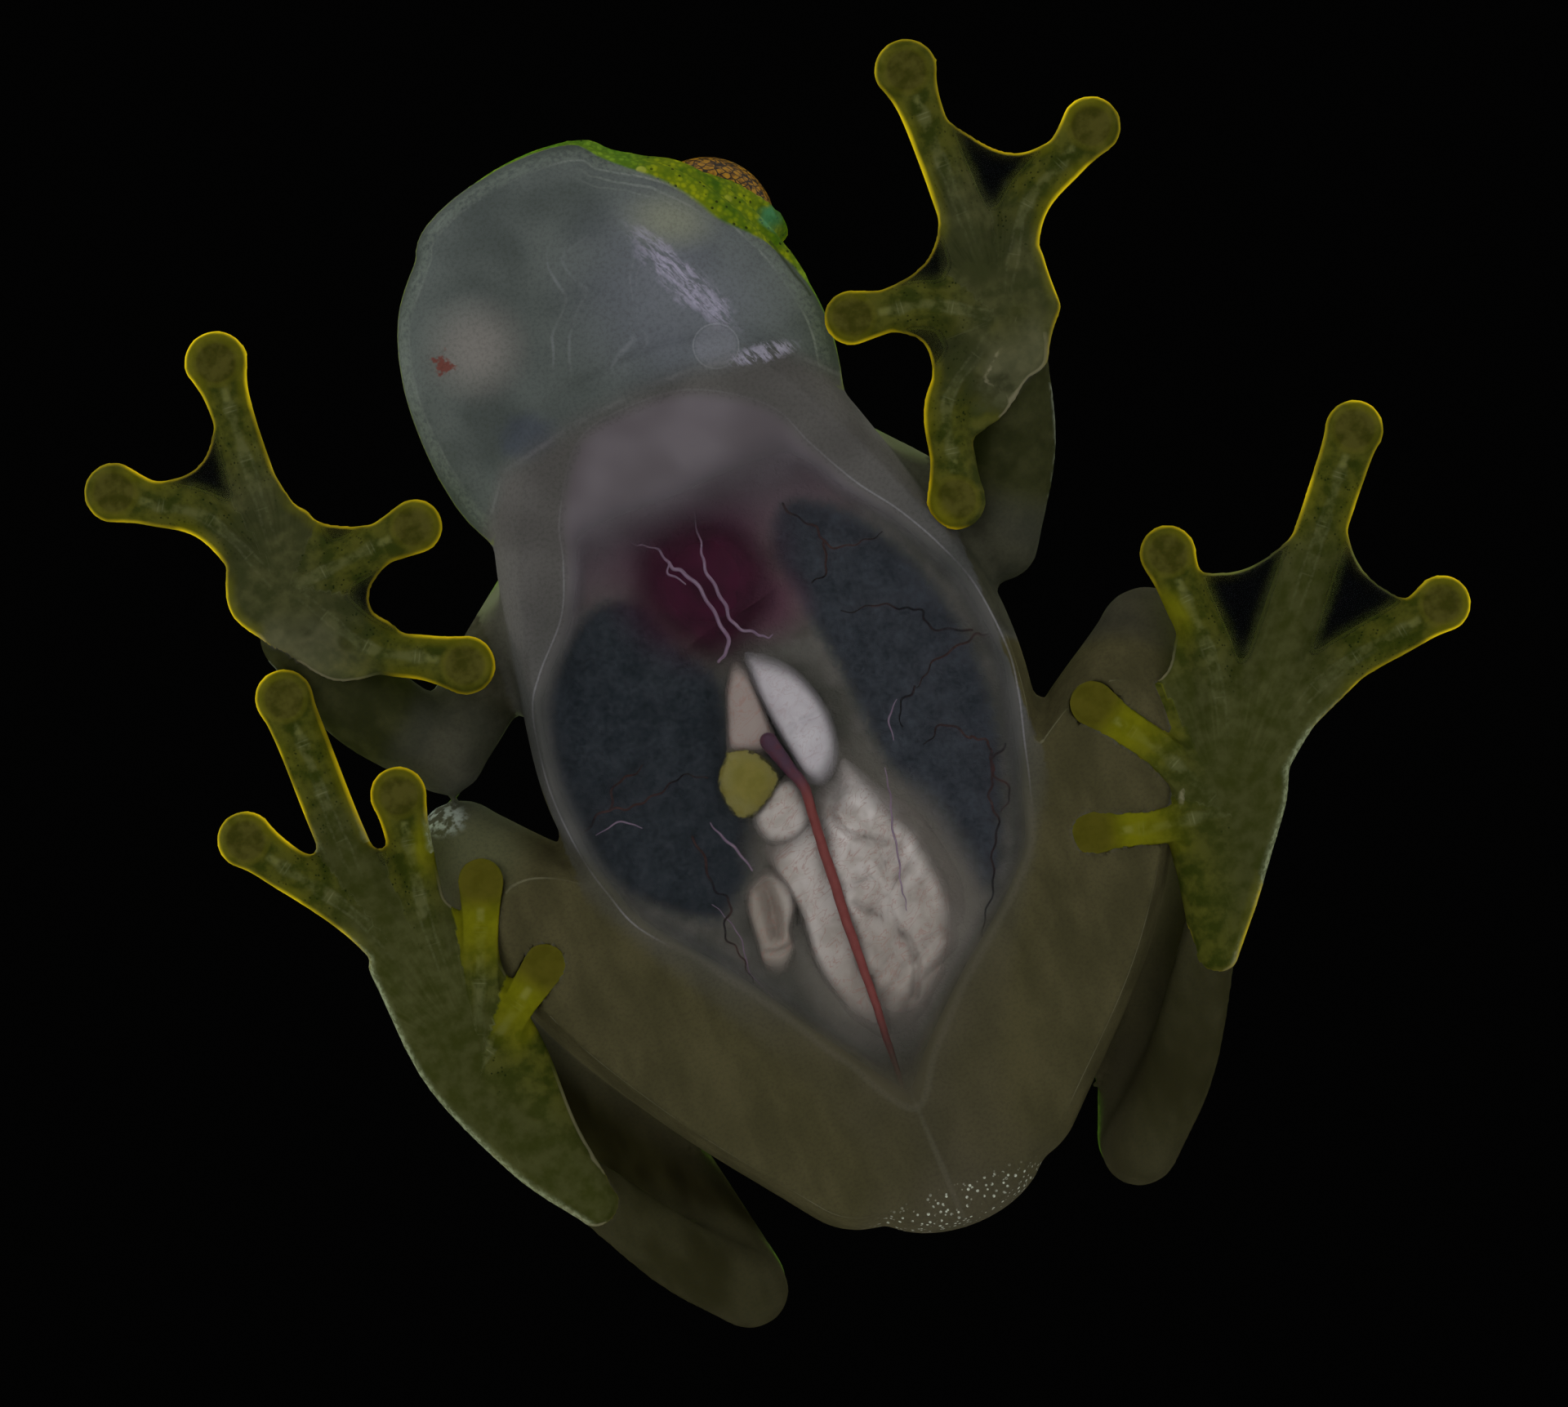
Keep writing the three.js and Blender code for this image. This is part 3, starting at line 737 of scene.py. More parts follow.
def inside_of(points, loop, reach=2.5):
    """How far inside a closed line each point is in plan, negative outside it, up to the reach."""
    tangent = unit(np.roll(loop, -1, 0) - np.roll(loop, 1, 0))
    inward = np.column_stack([-tangent[:, 1], tangent[:, 0]])
    if np.einsum("ij,ij->", loop - loop.mean(0), inward) > 0:
        inward = -inward
    result = np.full(len(points), -reach)
    low, high = loop.min(0) - reach, loop.max(0) + reach
    close = np.flatnonzero(((points > low) & (points < high)).all(1))
    for part in np.array_split(close, max(1, len(close) // 8000)):
        offset = points[part, None] - loop[None]
        nearest = (offset**2).sum(2).argmin(1)
        offset = offset[np.arange(len(part)), nearest]
        across = (offset * inward[nearest]).sum(1)
        far = np.linalg.norm(offset, axis=1)
        result[part] = np.where(far < 0.4, across, np.sign(across) * far)
    return np.clip(result, -reach, reach)


WINDOW = [(-1.5, -7.45), (-2.45, -6.1), (-2.75, -5.1), (-3.2, -4.05), (-4.05, -3.1), (-4.5, -2.4),
          (-4.73, -1.2), (-4.77, -0.2), (-4.64, 1.0), (-4.4, 1.9), (-4.05, 2.8), (-3.1, 3.95),
          (-2.1, 5.3), (-0.95, 7.1), (0.1, 8.6), (1.05, 7.5), (2.2, 6.35), (3.6, 5.2), (4.5, 4.2),
          (4.9, 3.0), (5.15, 2.0), (5.4, 1.0), (5.52, 0.0), (5.36, -1.5), (4.95, -2.6), (4.4, -3.6),
          (3.75, -4.5), (3.15, -5.6), (2.6, -6.7), (1.2, -7.6), (-0.2, -7.75)]
window = loop_through(WINDOW)
inside = inside_of(skin[:, :2], window)
inside = np.where((height < 0.4) & (paw < 0.5), inside, -2.5)
note(body, "inside", inside)

jaw_rows = smooth_rows(np.column_stack([HEAD["forward"], HEAD["aside"], HEAD["width"]]),
                       np.linspace(0, 1, 80))
dome = np.linspace(0, np.pi / 2, 40)[1:]
tip = jaw_rows[-1]
sides_of_jaw = []
for sign in (1, -1):
    snout = [tip[0] + HEAD["cap"] * np.sin(dome), tip[1] + sign * tip[2] * np.cos(dome)]
    sides_of_jaw.append(np.vstack([jaw_rows[:, :2] + [0, sign] * jaw_rows[:, 2:], np.column_stack(snout)]))
jaw = np.vstack([sides_of_jaw[0], sides_of_jaw[1][::-1]])
jaw_inside = inside_of(np.column_stack([forward, left]), jaw)
note(body, "jaw", np.where(head > 0.2, jaw_inside, 2.5))
COLLAR = np.array([(-4.3, -6.2), (-3.75, -6.8), (-3.3, -7.4), (-1.4, -7.83), (0.06, -7.98), (1.1, -8.02),
                   (3.3, -7.74), (3.9, -7.2), (4.6, -6.5)])
collar = np.interp(skin[:, 0], *COLLAR.T) - skin[:, 1]
note(body, "collar", np.clip(collar, -2.5, 2.5))
print("belly window, widest:", round(float(np.ptp(window[:, 0])), 2), "mm")

# %% Lines along the digits


def beside_path(points, path, samples=90):
    """The signed distance in plan from a path, and how far along it the nearest place is from its end."""
    line = smooth_rows(path, np.linspace(0, 1, samples))[:, :2]
    step = np.linalg.norm(np.diff(line, axis=0), axis=1)
    to_end = np.append(np.cumsum(step[::-1])[::-1], 0)
    tangent = unit(np.gradient(line, axis=0))
    gap, share = nearest_on_path(points, path, samples)
    nearest = np.rint(share * (samples - 1)).astype(int)
    offset = points[:, :2] - line[nearest]
    side = tangent[nearest, 0] * offset[:, 1] - tangent[nearest, 1] * offset[:, 0]
    past = (tangent[nearest] * offset).sum(1)
    return gap, side, to_end[nearest] - past


on_paw = np.flatnonzero(paw > 0.02)
best = np.full(len(on_paw), 9.0)
aside, foot, fan = np.zeros(len(skin)), np.zeros(len(skin)), np.zeros(len(skin))
to_tip, to_hub = np.full(len(skin), 9.0), np.full(len(skin), 9.0)
web, over, beside = np.full(len(on_paw), 9.0), np.zeros(len(on_paw)), np.full(len(on_paw), 9.0)
kept = np.rint(noted(body, "which")[on_paw]).astype(int)
which = np.maximum(kept, 0)
for number, (name, (_, paths)) in enumerate(hands_and_feet.items()):
    hand, pose = name.startswith("hand"), POSE[name.split("_")[1]]
    hub = np.array(pose["palm"] if hand else pose["hub"], float)
    ahead = unit(np.mean([path[-1, :2] for path in paths], axis=0) - hub)
    base = [pose["palm_ends"][0], pose["palm"], pose["palm_ends"][1]] if hand else pose["sole"]
    gap = beside_tube(skin[on_paw], on_floor(base, SOLE_HEIGHT), (PALM if hand else SOLE)["width"])
    own = (kept == number) | (kept < 0)
    web[own] = np.minimum(web, gap)[own]
    for part in ("forearm",) if hand else ("thigh", "shank", "tarsus"):
        gap = beside_tube(skin[on_paw], limb_paths(pose)[part], LIMBS[part]["width"])
        over[own] = np.maximum(over, 1 - ease(gap, -0.25, 0.15))[own]
        beside[own] = np.minimum(beside, gap)[own]
    for k, path in enumerate(paths):
        gap, side, end = beside_path(skin[on_paw], path)
        web[own] = np.minimum(web, beside_tube(skin[on_paw], path, digit_widths(name, k)))[own]
        closer = (gap < best) & own
        which[closer] = number
        chosen = on_paw[closer]
        best[closer] = gap[closer]
        aside[chosen] = side[closer]
        to_tip[chosen] = end[closer]
        foot[chosen] = float(name.startswith("foot"))
        offset = skin[chosen, :2] - hub
        fan[chosen] = np.arctan2(ahead[0] * offset[:, 1] - ahead[1] * offset[:, 0], offset @ ahead)
        to_hub[chosen] = np.linalg.norm(offset, axis=1)
for name, values in dict(aside=aside, to_tip=to_tip, foot=foot, fan=fan, to_hub=to_hub).items():
    note(body, name, values)


def on_skin(values, elsewhere=0.0, rounds=2):
    """Values of the hands' and feet's points among those of the whole skin, blurred a little."""
    spread = np.full(len(skin), elsewhere)
    spread[on_paw] = values
    return blurred(spread, skin_edges, rounds)


tilt = normals_of(body)[:, 2]
from_outline = np.full(len(on_paw), 2.0)
for number in range(len(hands_and_feet)):
    members = np.flatnonzero(which == number)
    steep = members[np.abs(tilt[on_paw[members]]) < 0.25]
    for part in np.array_split(members, max(1, len(members) // 1500)):
        offset = skin[on_paw[part], None, :2] - skin[None, on_paw[steep], :2]
        from_outline[part] = np.sqrt((offset**2).sum(2).min(1))
thin = ease(height[on_paw], 0.08, 0.18) * ease(-height[on_paw], -0.7, -0.55)
web = ease(web, 0.0, 0.16) * thin * ease(beside, 0.05, 0.5) * ease(paw[on_paw], 0.4, 0.8)
web = on_skin(web, rounds=5)
note(body, "web", web)
note(body, "over", on_skin(over))
note(body, "from_outline", on_skin(from_outline, 2.0))
note(body, "tilt", tilt)
print("points on webs:", int((web > 0.5).sum()))

outer, nearest_yet = np.zeros(len(skin)), np.full(len(skin), 9.0)
for side, pose in POSE.items():
    lines = [(limb_paths(pose)[part], LIMBS[part]["width"]) for part in ("forearm", "tarsus")]
    lines.append((on_floor(pose["sole"], SOLE_HEIGHT), SOLE["width"]))
    for path, width in lines:
        gap, share = nearest_on_path(skin, path)
        line = smooth_rows(np.column_stack([path, width]), share)
        closer = gap < nearest_yet
        nearest_yet[closer] = gap[closer]
        outer[closer] = (SIDES[side] * (skin[:, 0] - line[:, 0]) / line[:, 3])[closer]
note(body, "outer", outer)
print("points on hands and feet:", len(on_paw))

# %% [markdown]
# Through the clear belly the organs show. Most of the cavity is dark and bluish, the peritoneum over
# the liver, the gut and the gall bladder is white as china, the heart is a blurred wine-red, and one
# red vein runs down the midline. Each organ is a pillow: a sphere whose circles of latitude are drawn
# out to an outline measured on the photograph, with its folds pushed in as sums of sines.

# %% Organs


def pillow(outline, middle, low, high, rows=44, count=120, square=0.75, relief=None):
    """Polar angle t and a place on the outline: the plan is the centre plus the outline's offset times
    the sine of t to a power, and the height is the middle plus the cosine times low or high."""
    loop = loop_through(outline, count)
    t = np.linspace(0, np.pi, rows + 2)[1:-1]
    spread = (np.sin(t) ** square)[:, None, None]
    centre = loop.mean(0)
    plan = centre + (loop - centre) * spread
    tall = np.where(np.cos(t) < 0, low, high) * np.cos(t)
    z = np.repeat((middle + tall)[:, None], count, 1)
    if relief is not None:
        z = z + relief(plan[..., 0], plan[..., 1]) * np.clip(-np.cos(t), 0, 1)[:, None]
    points = np.concatenate([plan, z[..., None]], -1).reshape(-1, 3)
    poles = np.array([[*centre, middle + high], [*centre, middle - low]])
    if relief is not None:
        poles[1, 2] += relief(*centre)
    return np.vstack([points, poles]), closed_grid(rows, count), np.r_[np.repeat(spread, count), 0, 0]


def organ(name, *pillows):
    """One piece from pillows, with the share of the way from the middle to the outline kept on it."""
    piece = put(name, *joined([shape[:2] for shape in pillows]))
    note(piece, "outward", np.concatenate([shape[2] for shape in pillows]))
    return piece


def valley(x, y, points, width):
    """How deep in a valley along a line of points a place is: 1 on the line, 0 beyond its width."""
    line = smooth_rows(points, np.linspace(0, 1, 60))
    gap = np.sqrt(((np.stack([x, y], -1)[..., None, :] - line) ** 2).sum(-1)).min(-1)
    return swell(gap, width)


LIVER = [(0.31, -1.91), (0.99, -1.36), (1.31, -0.72), (1.46, 0.0), (1.4, 0.63), (1.17, 1.11), (0.84, 1.36),
         (0.62, 1.32), (0.44, 1.06), (0.32, 0.4), (0.2, -0.39), (0.12, -1.18), (0.15, -1.73)]
STRIP = [(-0.1, -1.84), (-0.45, -1.4), (-0.7, -0.74), (-0.9, 0.0), (-0.5, 0.25), (0.1, 0.3), (0.2, -0.4),
         (0.15, -1.5)]
GALL = [(-1.06, 0.06), (-0.86, -0.09), (-0.41, 0.08), (-0.11, 0.52), (-0.07, 0.91), (-0.43, 1.25),
        (-0.94, 1.47), (-1.26, 1.31), (-1.38, 0.88), (-1.34, 0.43)]
BLOB = [(-0.55, 1.2), (-0.1, 0.9), (0.25, 1.0), (0.35, 1.6), (0.2, 2.1), (-0.35, 2.3), (-0.85, 2.1),
        (-0.95, 1.5)]
COLUMN = [(-0.2, 1.8), (0.42, 1.9), (0.48, 3.2), (0.44, 4.5), (0.4, 5.9), (0.15, 7.1), (-0.5, 6.4),
          (-0.8, 5.0), (-0.75, 3.7), (-0.95, 2.6), (-0.85, 2.1)]
GUT = [(0.5, 1.5), (1.0, 1.3), (1.4, 1.0), (1.92, 1.87), (2.42, 2.53), (2.68, 3.38), (2.83, 4.38),
       (2.7, 5.09), (2.26, 5.86), (1.8, 6.34), (1.25, 6.79), (0.6, 7.1), (0.05, 6.7), (-0.08, 5.4),
       (0.0, 4.2), (0.05, 3.2), (0.15, 2.4)]
COIL = [(-1.43, 2.72), (-1.0, 2.6), (-0.66, 2.95), (-0.68, 3.5), (-0.98, 4.05), (-1.1, 4.55),
        (-1.5, 4.9), (-1.9, 4.68), (-1.86, 4.1), (-1.8, 3.37), (-1.66, 2.9)]


def liver_relief(x, y):
    crease = valley(x, y, [(0.3, 0.05), (0.74, -0.1), (1.02, -0.09), (1.25, -0.12), (1.5, -0.2)], 0.06)
    return 0.1 * crease - 0.1 * ease(y, -0.1, 0.3)


def gut_relief(x, y):
    """Folds that run across the gut, bent by slower waves, and a few deeper creases."""
    bend = 0.35 * np.sin(1.9 * x + 0.8 * y) + 0.2 * np.sin(3.1 * y + 1.3)
    folds = np.abs(np.sin(3.6 * (y + 0.35 * x + bend))) ** 0.7
    ridges = np.sin(7.0 * (x - 0.5 * y) + 2 * np.sin(1.7 * y))
    crease = valley(x, y, [(1.0, 1.55), (0.75, 2.0), (0.9, 2.5), (1.6, 3.0)], 0.07)
    crease = crease + valley(x, y, [(0.5, 4.0), (1.0, 4.6), (1.3, 5.4), (1.0, 6.3)], 0.08)
    return -0.2 * folds - 0.05 * ridges + 0.22 * crease


def coil_relief(x, y):
    """A hoop of gut: a raised rim round a narrow slit, and a knot at its lower end."""
    slit = valley(x, y, [(-1.2, 3.0), (-1.22, 3.4), (-1.32, 3.95)], 0.16)
    knot = valley(x, y, [(-1.7, 4.3), (-1.35, 4.38), (-1.0, 4.3)], 0.07)
    return 0.42 * slit + 0.12 * knot - 0.05 * np.sin(6 * y + 3 * x)


def column_relief(x, y):
    return -0.08 * np.abs(np.sin(2.6 * (y - 0.4 * x))) - 0.03 * np.sin(9 * x + 3 * y)


def gall_relief(x, y):
    return -0.05 * np.sin(5 * x + 2) * np.sin(4 * y)


heart_turn = np.arange(12) * TAU / 12
HEART = np.column_stack([-0.05 + 1.9 * np.cos(heart_turn), -3.75 + 2.0 * np.sin(heart_turn)])
fine = dict(rows=60, count=160, square=0.6)
pillows = dict(
    liver=[pillow(LIVER, middle=0.75, low=0.5, high=0.4, relief=liver_relief)],
    liver_left_lobe=[pillow(STRIP, middle=0.8, low=0.35, high=0.3)],
    gall_bladder=[pillow(GALL, middle=0.6, low=0.42, high=0.4, relief=gall_relief)],
    gut=[pillow(GUT, middle=0.85, low=0.45, high=0.4, rows=90, count=220, square=0.5, relief=gut_relief),
         pillow(COLUMN, middle=0.85, low=0.3, high=0.3, relief=column_relief, **fine),
         pillow(BLOB, middle=0.8, low=0.4, high=0.3)],
    gut_coil=[pillow(COIL, middle=0.72, low=0.4, high=0.35, relief=coil_relief, **fine)],
    heart=[pillow(HEART, middle=1.05, low=0.55, high=0.25, square=1.0)],
)
organs = {name: organ(name, *shapes) for name, shapes in pillows.items()}
print("organs:", {name: len(piece.data.polygons) for name, piece in organs.items()})

# %% [markdown]
# Vessels are tubes along lines of points, with a slow and a quick sideways wave so that they wander as
# real ones do. The white ones lie over the heart, the red one over the gut, and the finest brown ones
# just inside the belly skin.

# %% Vessels


def along_line(measure, share):
    """One number all along a line, or a list of numbers joined smoothly."""
    if np.ndim(measure) == 0:
        return np.full(len(share), float(measure))
    return smooth_rows(np.reshape(measure, (-1, 1)), share)[:, 0]


def vessel(points, girth, height, wander=0.03, rings=70, sides=8, phase=0.0):
    """A thin tube. The plan is the smooth line plus a sideways sum of two sines along it."""
    share = np.linspace(0, 1, rings)
    line = smooth_rows(points, share)
    tangent = unit(np.gradient(line, axis=0))
    length = np.linalg.norm(np.diff(line, axis=0), axis=1).sum()
    wave = np.sin(TAU * share * length * 0.9 + phase) + 0.6 * np.sin(TAU * share * length * 2.3 + 2 * phase)
    line = line + np.column_stack([-tangent[:, 1], tangent[:, 0]]) * (wander * wave)[:, None]
    girths = along_line(girth, share)
    path = np.column_stack([line, along_line(height, share)])
    return tube(path, girths, girths, rings=rings, sides=sides, dome_rings=3)


VEIN = [(0.0, 0.05), (0.17, 0.65), (0.36, 1.27), (0.3, 2.09), (0.24, 3.2), (0.17, 4.49), (0.14, 5.79),
        (0.08, 6.9), (0.02, 8.0)]
organs["vein"] = put("vein", *vessel(
    VEIN, girth=[0.19, 0.15, 0.115, 0.105, 0.11, 0.105, 0.09, 0.08, 0.05],
    height=[0.45, 0.4, 0.3, 0.28, 0.26, 0.26, 0.24, 0.16, 0.12], wander=0.005, rings=140, sides=16))
WHITE_VESSELS = [
    ([(-1.2, -5.0), (-0.85, -4.75), (-0.62, -4.3), (-0.4, -3.95), (-0.1, -3.15), (-0.06, -2.3),
      (-0.35, -1.9)],
     [0.014, 0.022, 0.034, 0.045, 0.04, 0.045, 0.03]),
    ([(0.35, -5.3), (0.14, -4.5), (0.1, -3.9), (0.14, -3.1), (0.28, -2.5), (0.62, -2.15), (0.9, -2.05)],
     [0.014, 0.022, 0.034, 0.04, 0.036, 0.03, 0.016]),
    ([(-0.62, -4.3), (-0.72, -4.05), (-0.45, -3.75)], [0.015, 0.025, 0.015]),
]
THREADS = [
    ([(-1.8, 1.25), (-1.56, 1.85), (-1.3, 2.51)], [0.015, 0.03, 0.02]),
    ([(2.16, 1.49), (1.9, 2.52), (1.62, 3.73), (1.46, 4.52)], [0.012, 0.022, 0.02, 0.01]),
    ([(-4.2, 0.6), (-3.6, 0.55), (-3.2, 0.8)], [0.008, 0.02, 0.01]),
    ([(2.9, 0.2), (2.6, 0.5), (2.55, 1.0)], [0.01, 0.02, 0.01]),
    ([(-2.4, 2.9), (-2.1, 3.6), (-2.15, 4.5), (-1.9, 5.3)], [0.01, 0.014, 0.014, 0.008]),
]
BROWN_VESSELS = [
    [(5.3, -0.29), (4.85, -0.49), (3.95, -0.22), (3.36, 0.07)],
    [(4.92, -0.55), (4.16, -1.03), (3.96, -1.49), (3.32, -1.78), (2.47, -2.02)],
    [(4.13, 1.5), (4.42, 1.98), (4.09, 2.7), (3.93, 3.49), (3.44, 4.52), (2.86, 5.53), (2.25, 6.14),
     (1.49, 6.88)],
    [(-2.27, 1.38), (-2.21, 2.44), (-2.07, 3.06), (-2.37, 3.7), (-2.15, 4.35), (-2.26, 5.0)],
    [(3.36, 0.07), (3.0, 0.3), (2.8, 0.8)],
    [(4.13, 1.5), (3.6, 1.1), (3.1, 1.3)],
    [(2.1, -4.6), (2.5, -4.0), (2.7, -3.5), (3.3, -3.2), (3.9, -3.3)],
    [(2.7, -3.5), (2.5, -3.0), (2.1, -2.8)],
    [(-4.55, 0.5), (-3.7, 0.2), (-3.0, 0.35), (-2.2, 0.1), (-1.5, 0.3)],
    [(-3.7, 0.2), (-3.3, -0.3), (-2.7, -0.4)],
    [(0.0, -7.0), (0.3, -6.6), (0.6, -6.7), (0.75, -6.3), (0.5, -6.1)],
    [(4.7, 1.9), (4.3, 2.3), (4.42, 2.9), (4.2, 3.3)],
]
organs["white_vessels"] = put("white_vessels", *joined(
    [vessel(line, girth, height=0.16, wander=0.035, phase=k) for k, (line, girth) in enumerate(WHITE_VESSELS)]
    + [vessel(line, girth, height=0.2, wander=0.02, phase=k) for k, (line, girth) in enumerate(THREADS)]))
organs["brown_vessels"] = put("brown_vessels", *joined(
    [vessel(line, [0.026, 0.024, 0.012], height=0.06, wander=0.05, phase=k)
     for k, line in enumerate(BROWN_VESSELS)]))
print("vein, length in mm:", round(float(np.linalg.norm(np.diff(VEIN, axis=0), axis=1).sum()), 2))

# %% [markdown]
# Behind the organs a shallow bowl closes the cavity, so that what is seen past them is the dark wall of
# the body and not the inside of the back. It is a fan of rings from the window's edge to its middle.

# %% The wall of the cavity
LOBE_RIGHT = [(2.5, -4.85), (3.6, -4.1), (4.35, -2.95), (4.85, -1.6), (5.1, -0.05), (5.0, 1.3),
              (4.7, 2.5), (4.25, 3.7), (3.7, 4.7), (3.0, 4.9), (2.4, 3.3), (2.0, 1.6), (1.85, 0.2),
              (1.7, -1.2), (1.45, -2.4), (1.35, -3.7), (1.7, -4.6)]
LOBE_LEFT = [(-2.21, -4.05), (-3.08, -3.73), (-3.99, -2.76), (-4.49, -1.63), (-4.74, -0.41), (-4.62, 0.76),
             (-4.12, 1.9), (-3.32, 2.77), (-2.4, 3.31), (-1.8, 2.98), (-1.0, 2.22), (-1.0, 1.44),
             (-0.9, 0.36), (-0.6, -0.82), (-0.5, -1.67), (-1.0, -2.55), (-1.42, -3.65)]


def bowl(outline, edge, depth, rings=69, count=240):
    """A share s from the edge to the middle: the plan shrinks by s, and the height rises from the edge
    by the depth times the square root of 1 less the plan's square, raised to 1.3. A fan on one point
    closes the middle."""
    loop = loop_through(outline, count)
    centre = loop.mean(0)
    s = np.linspace(0, 1, rings + 1)[:-1, None, None]
    plan = centre + (loop - centre) * (1 - s) * 0.995
    z = edge + depth * np.sqrt(1 - (1 - s[..., 0]) ** 2) ** 1.3
    points = np.concatenate([plan, np.repeat(z, count, 1)[..., None]], -1).reshape(-1, 3)
    last = (rings - 1) * count + np.arange(count)
    middle = np.stack([last, np.roll(last, -1), np.full(count, len(points))], -1)
    return np.vstack([points, [*centre, edge + depth]]), ring_quads(rings, count) + middle.tolist()


wall_points, wall_faces = bowl(WINDOW, edge=0.1, depth=1.25)
wall = put("cavity_wall", wall_points, wall_faces)
if normals_of(wall)[:, 2].mean() > 0:
    wall.data.flip_normals()  # every face looks down at the pane
plan = wall_points[:, :2]
lobes = np.maximum(ease(inside_of(plan, loop_through(LOBE_LEFT)), -0.5, 0.6),
                   ease(inside_of(plan, loop_through(LOBE_RIGHT)), -0.3, 0.8))
note(wall, "lobe", lobes)
# How near each point is to the gut and its column, for a painted glow from them on the wall.
white = np.maximum(inside_of(plan, loop_through(GUT)), inside_of(plan, loop_through(COLUMN)))
note(wall, "white", ease(white, -0.75, 0.15))
organs["cavity_wall"] = wall
print("cavity depth:", round(float(np.ptp(wall_points[:, 2])), 2), "mm")

# %% [markdown]
# An eye is a ball whose poles lie on its line of sight, so that rings of the mesh follow the iris. Two
# attributes give each point's place across and up the eye, and the finish draws pupil and iris there.

# %% Eyes


def eyeball(sign, rows=90, columns=128):
    centre, gaze = eye_centre(sign), eye_gaze(sign)
    across = unit(np.cross(head_direction(0, 0, 1), gaze))
    above = np.cross(gaze, across)
    polar = np.linspace(0, np.pi, rows + 2)[1:-1][:, None, None]
    turn = np.arange(columns)[None, :, None] * TAU / columns
    out = np.cos(polar) * gaze + np.sin(polar) * (np.cos(turn) * across + np.sin(turn) * above)
    out = np.vstack([out.reshape(-1, 3), gaze, -gaze])
    return centre + out * EYE["radius"], closed_grid(rows, columns), out @ across, out @ above


eyes = {}
for side, sign in SIDES.items():
    points, faces, x, y = eyeball(sign)
    piece = put(f"eyeball_{side}", points, faces)
    note(piece, "eye_x", x)
    note(piece, "eye_y", y)
    eyes[side] = piece
print("eyes, across in mm:", 2 * EYE["radius"])

# %% [markdown]
# Every finish here is procedural: a few formulas of the place on the frog. Drawing them by hand in the
# node editor would hide the reasoning, so a small class lets Python's own signs add the nodes. A number
# that varies over the surface is a Value, and `1 - mask` or `mask * dots` means what it says.

# %% Formulas for finishes


class Value:
    """A number that varies over a surface. Each sign adds the Math node that works it out."""

    def __init__(self, finish, socket):
        self.finish = finish
        self.socket = socket

    def __add__(self, other):
        return self.finish.math("ADD", self, other)

    __radd__ = __add__

    def __sub__(self, other):
        return self.finish.math("SUBTRACT", self, other)

    def __rsub__(self, other):
        return self.finish.math("SUBTRACT", other, self)

    def __mul__(self, other):
        return self.finish.math("MULTIPLY", self, other)

    __rmul__ = __mul__

    def __truediv__(self, other):
        return self.finish.math("DIVIDE", self, other)

    def __rtruediv__(self, other):
        return self.finish.math("DIVIDE", other, self)

    def __pow__(self, other):
        return self.finish.math("POWER", self, other)

    def __abs__(self):
        return self.finish.math("ABSOLUTE", self)

    def ease(self, low, high):
        """0 below low, 1 above high, and a smooth step between."""
        made = self.finish.node("MapRange", {"interpolation_type": "SMOOTHSTEP"},
                                {"Value": self, "From Min": low, "From Max": high})
        return Value(self.finish, made.outputs[0])

    def under(self, low, high):
        """1 below low, 0 above high."""
        return 1 - self.ease(low, high)

    def stripe(self, at, half, soft):
        """1 within half of a value, fading over soft beyond it."""
        return abs(self - at).under(half, half + soft)

    def most(self, other):
        return self.finish.math("MAXIMUM", self, other)


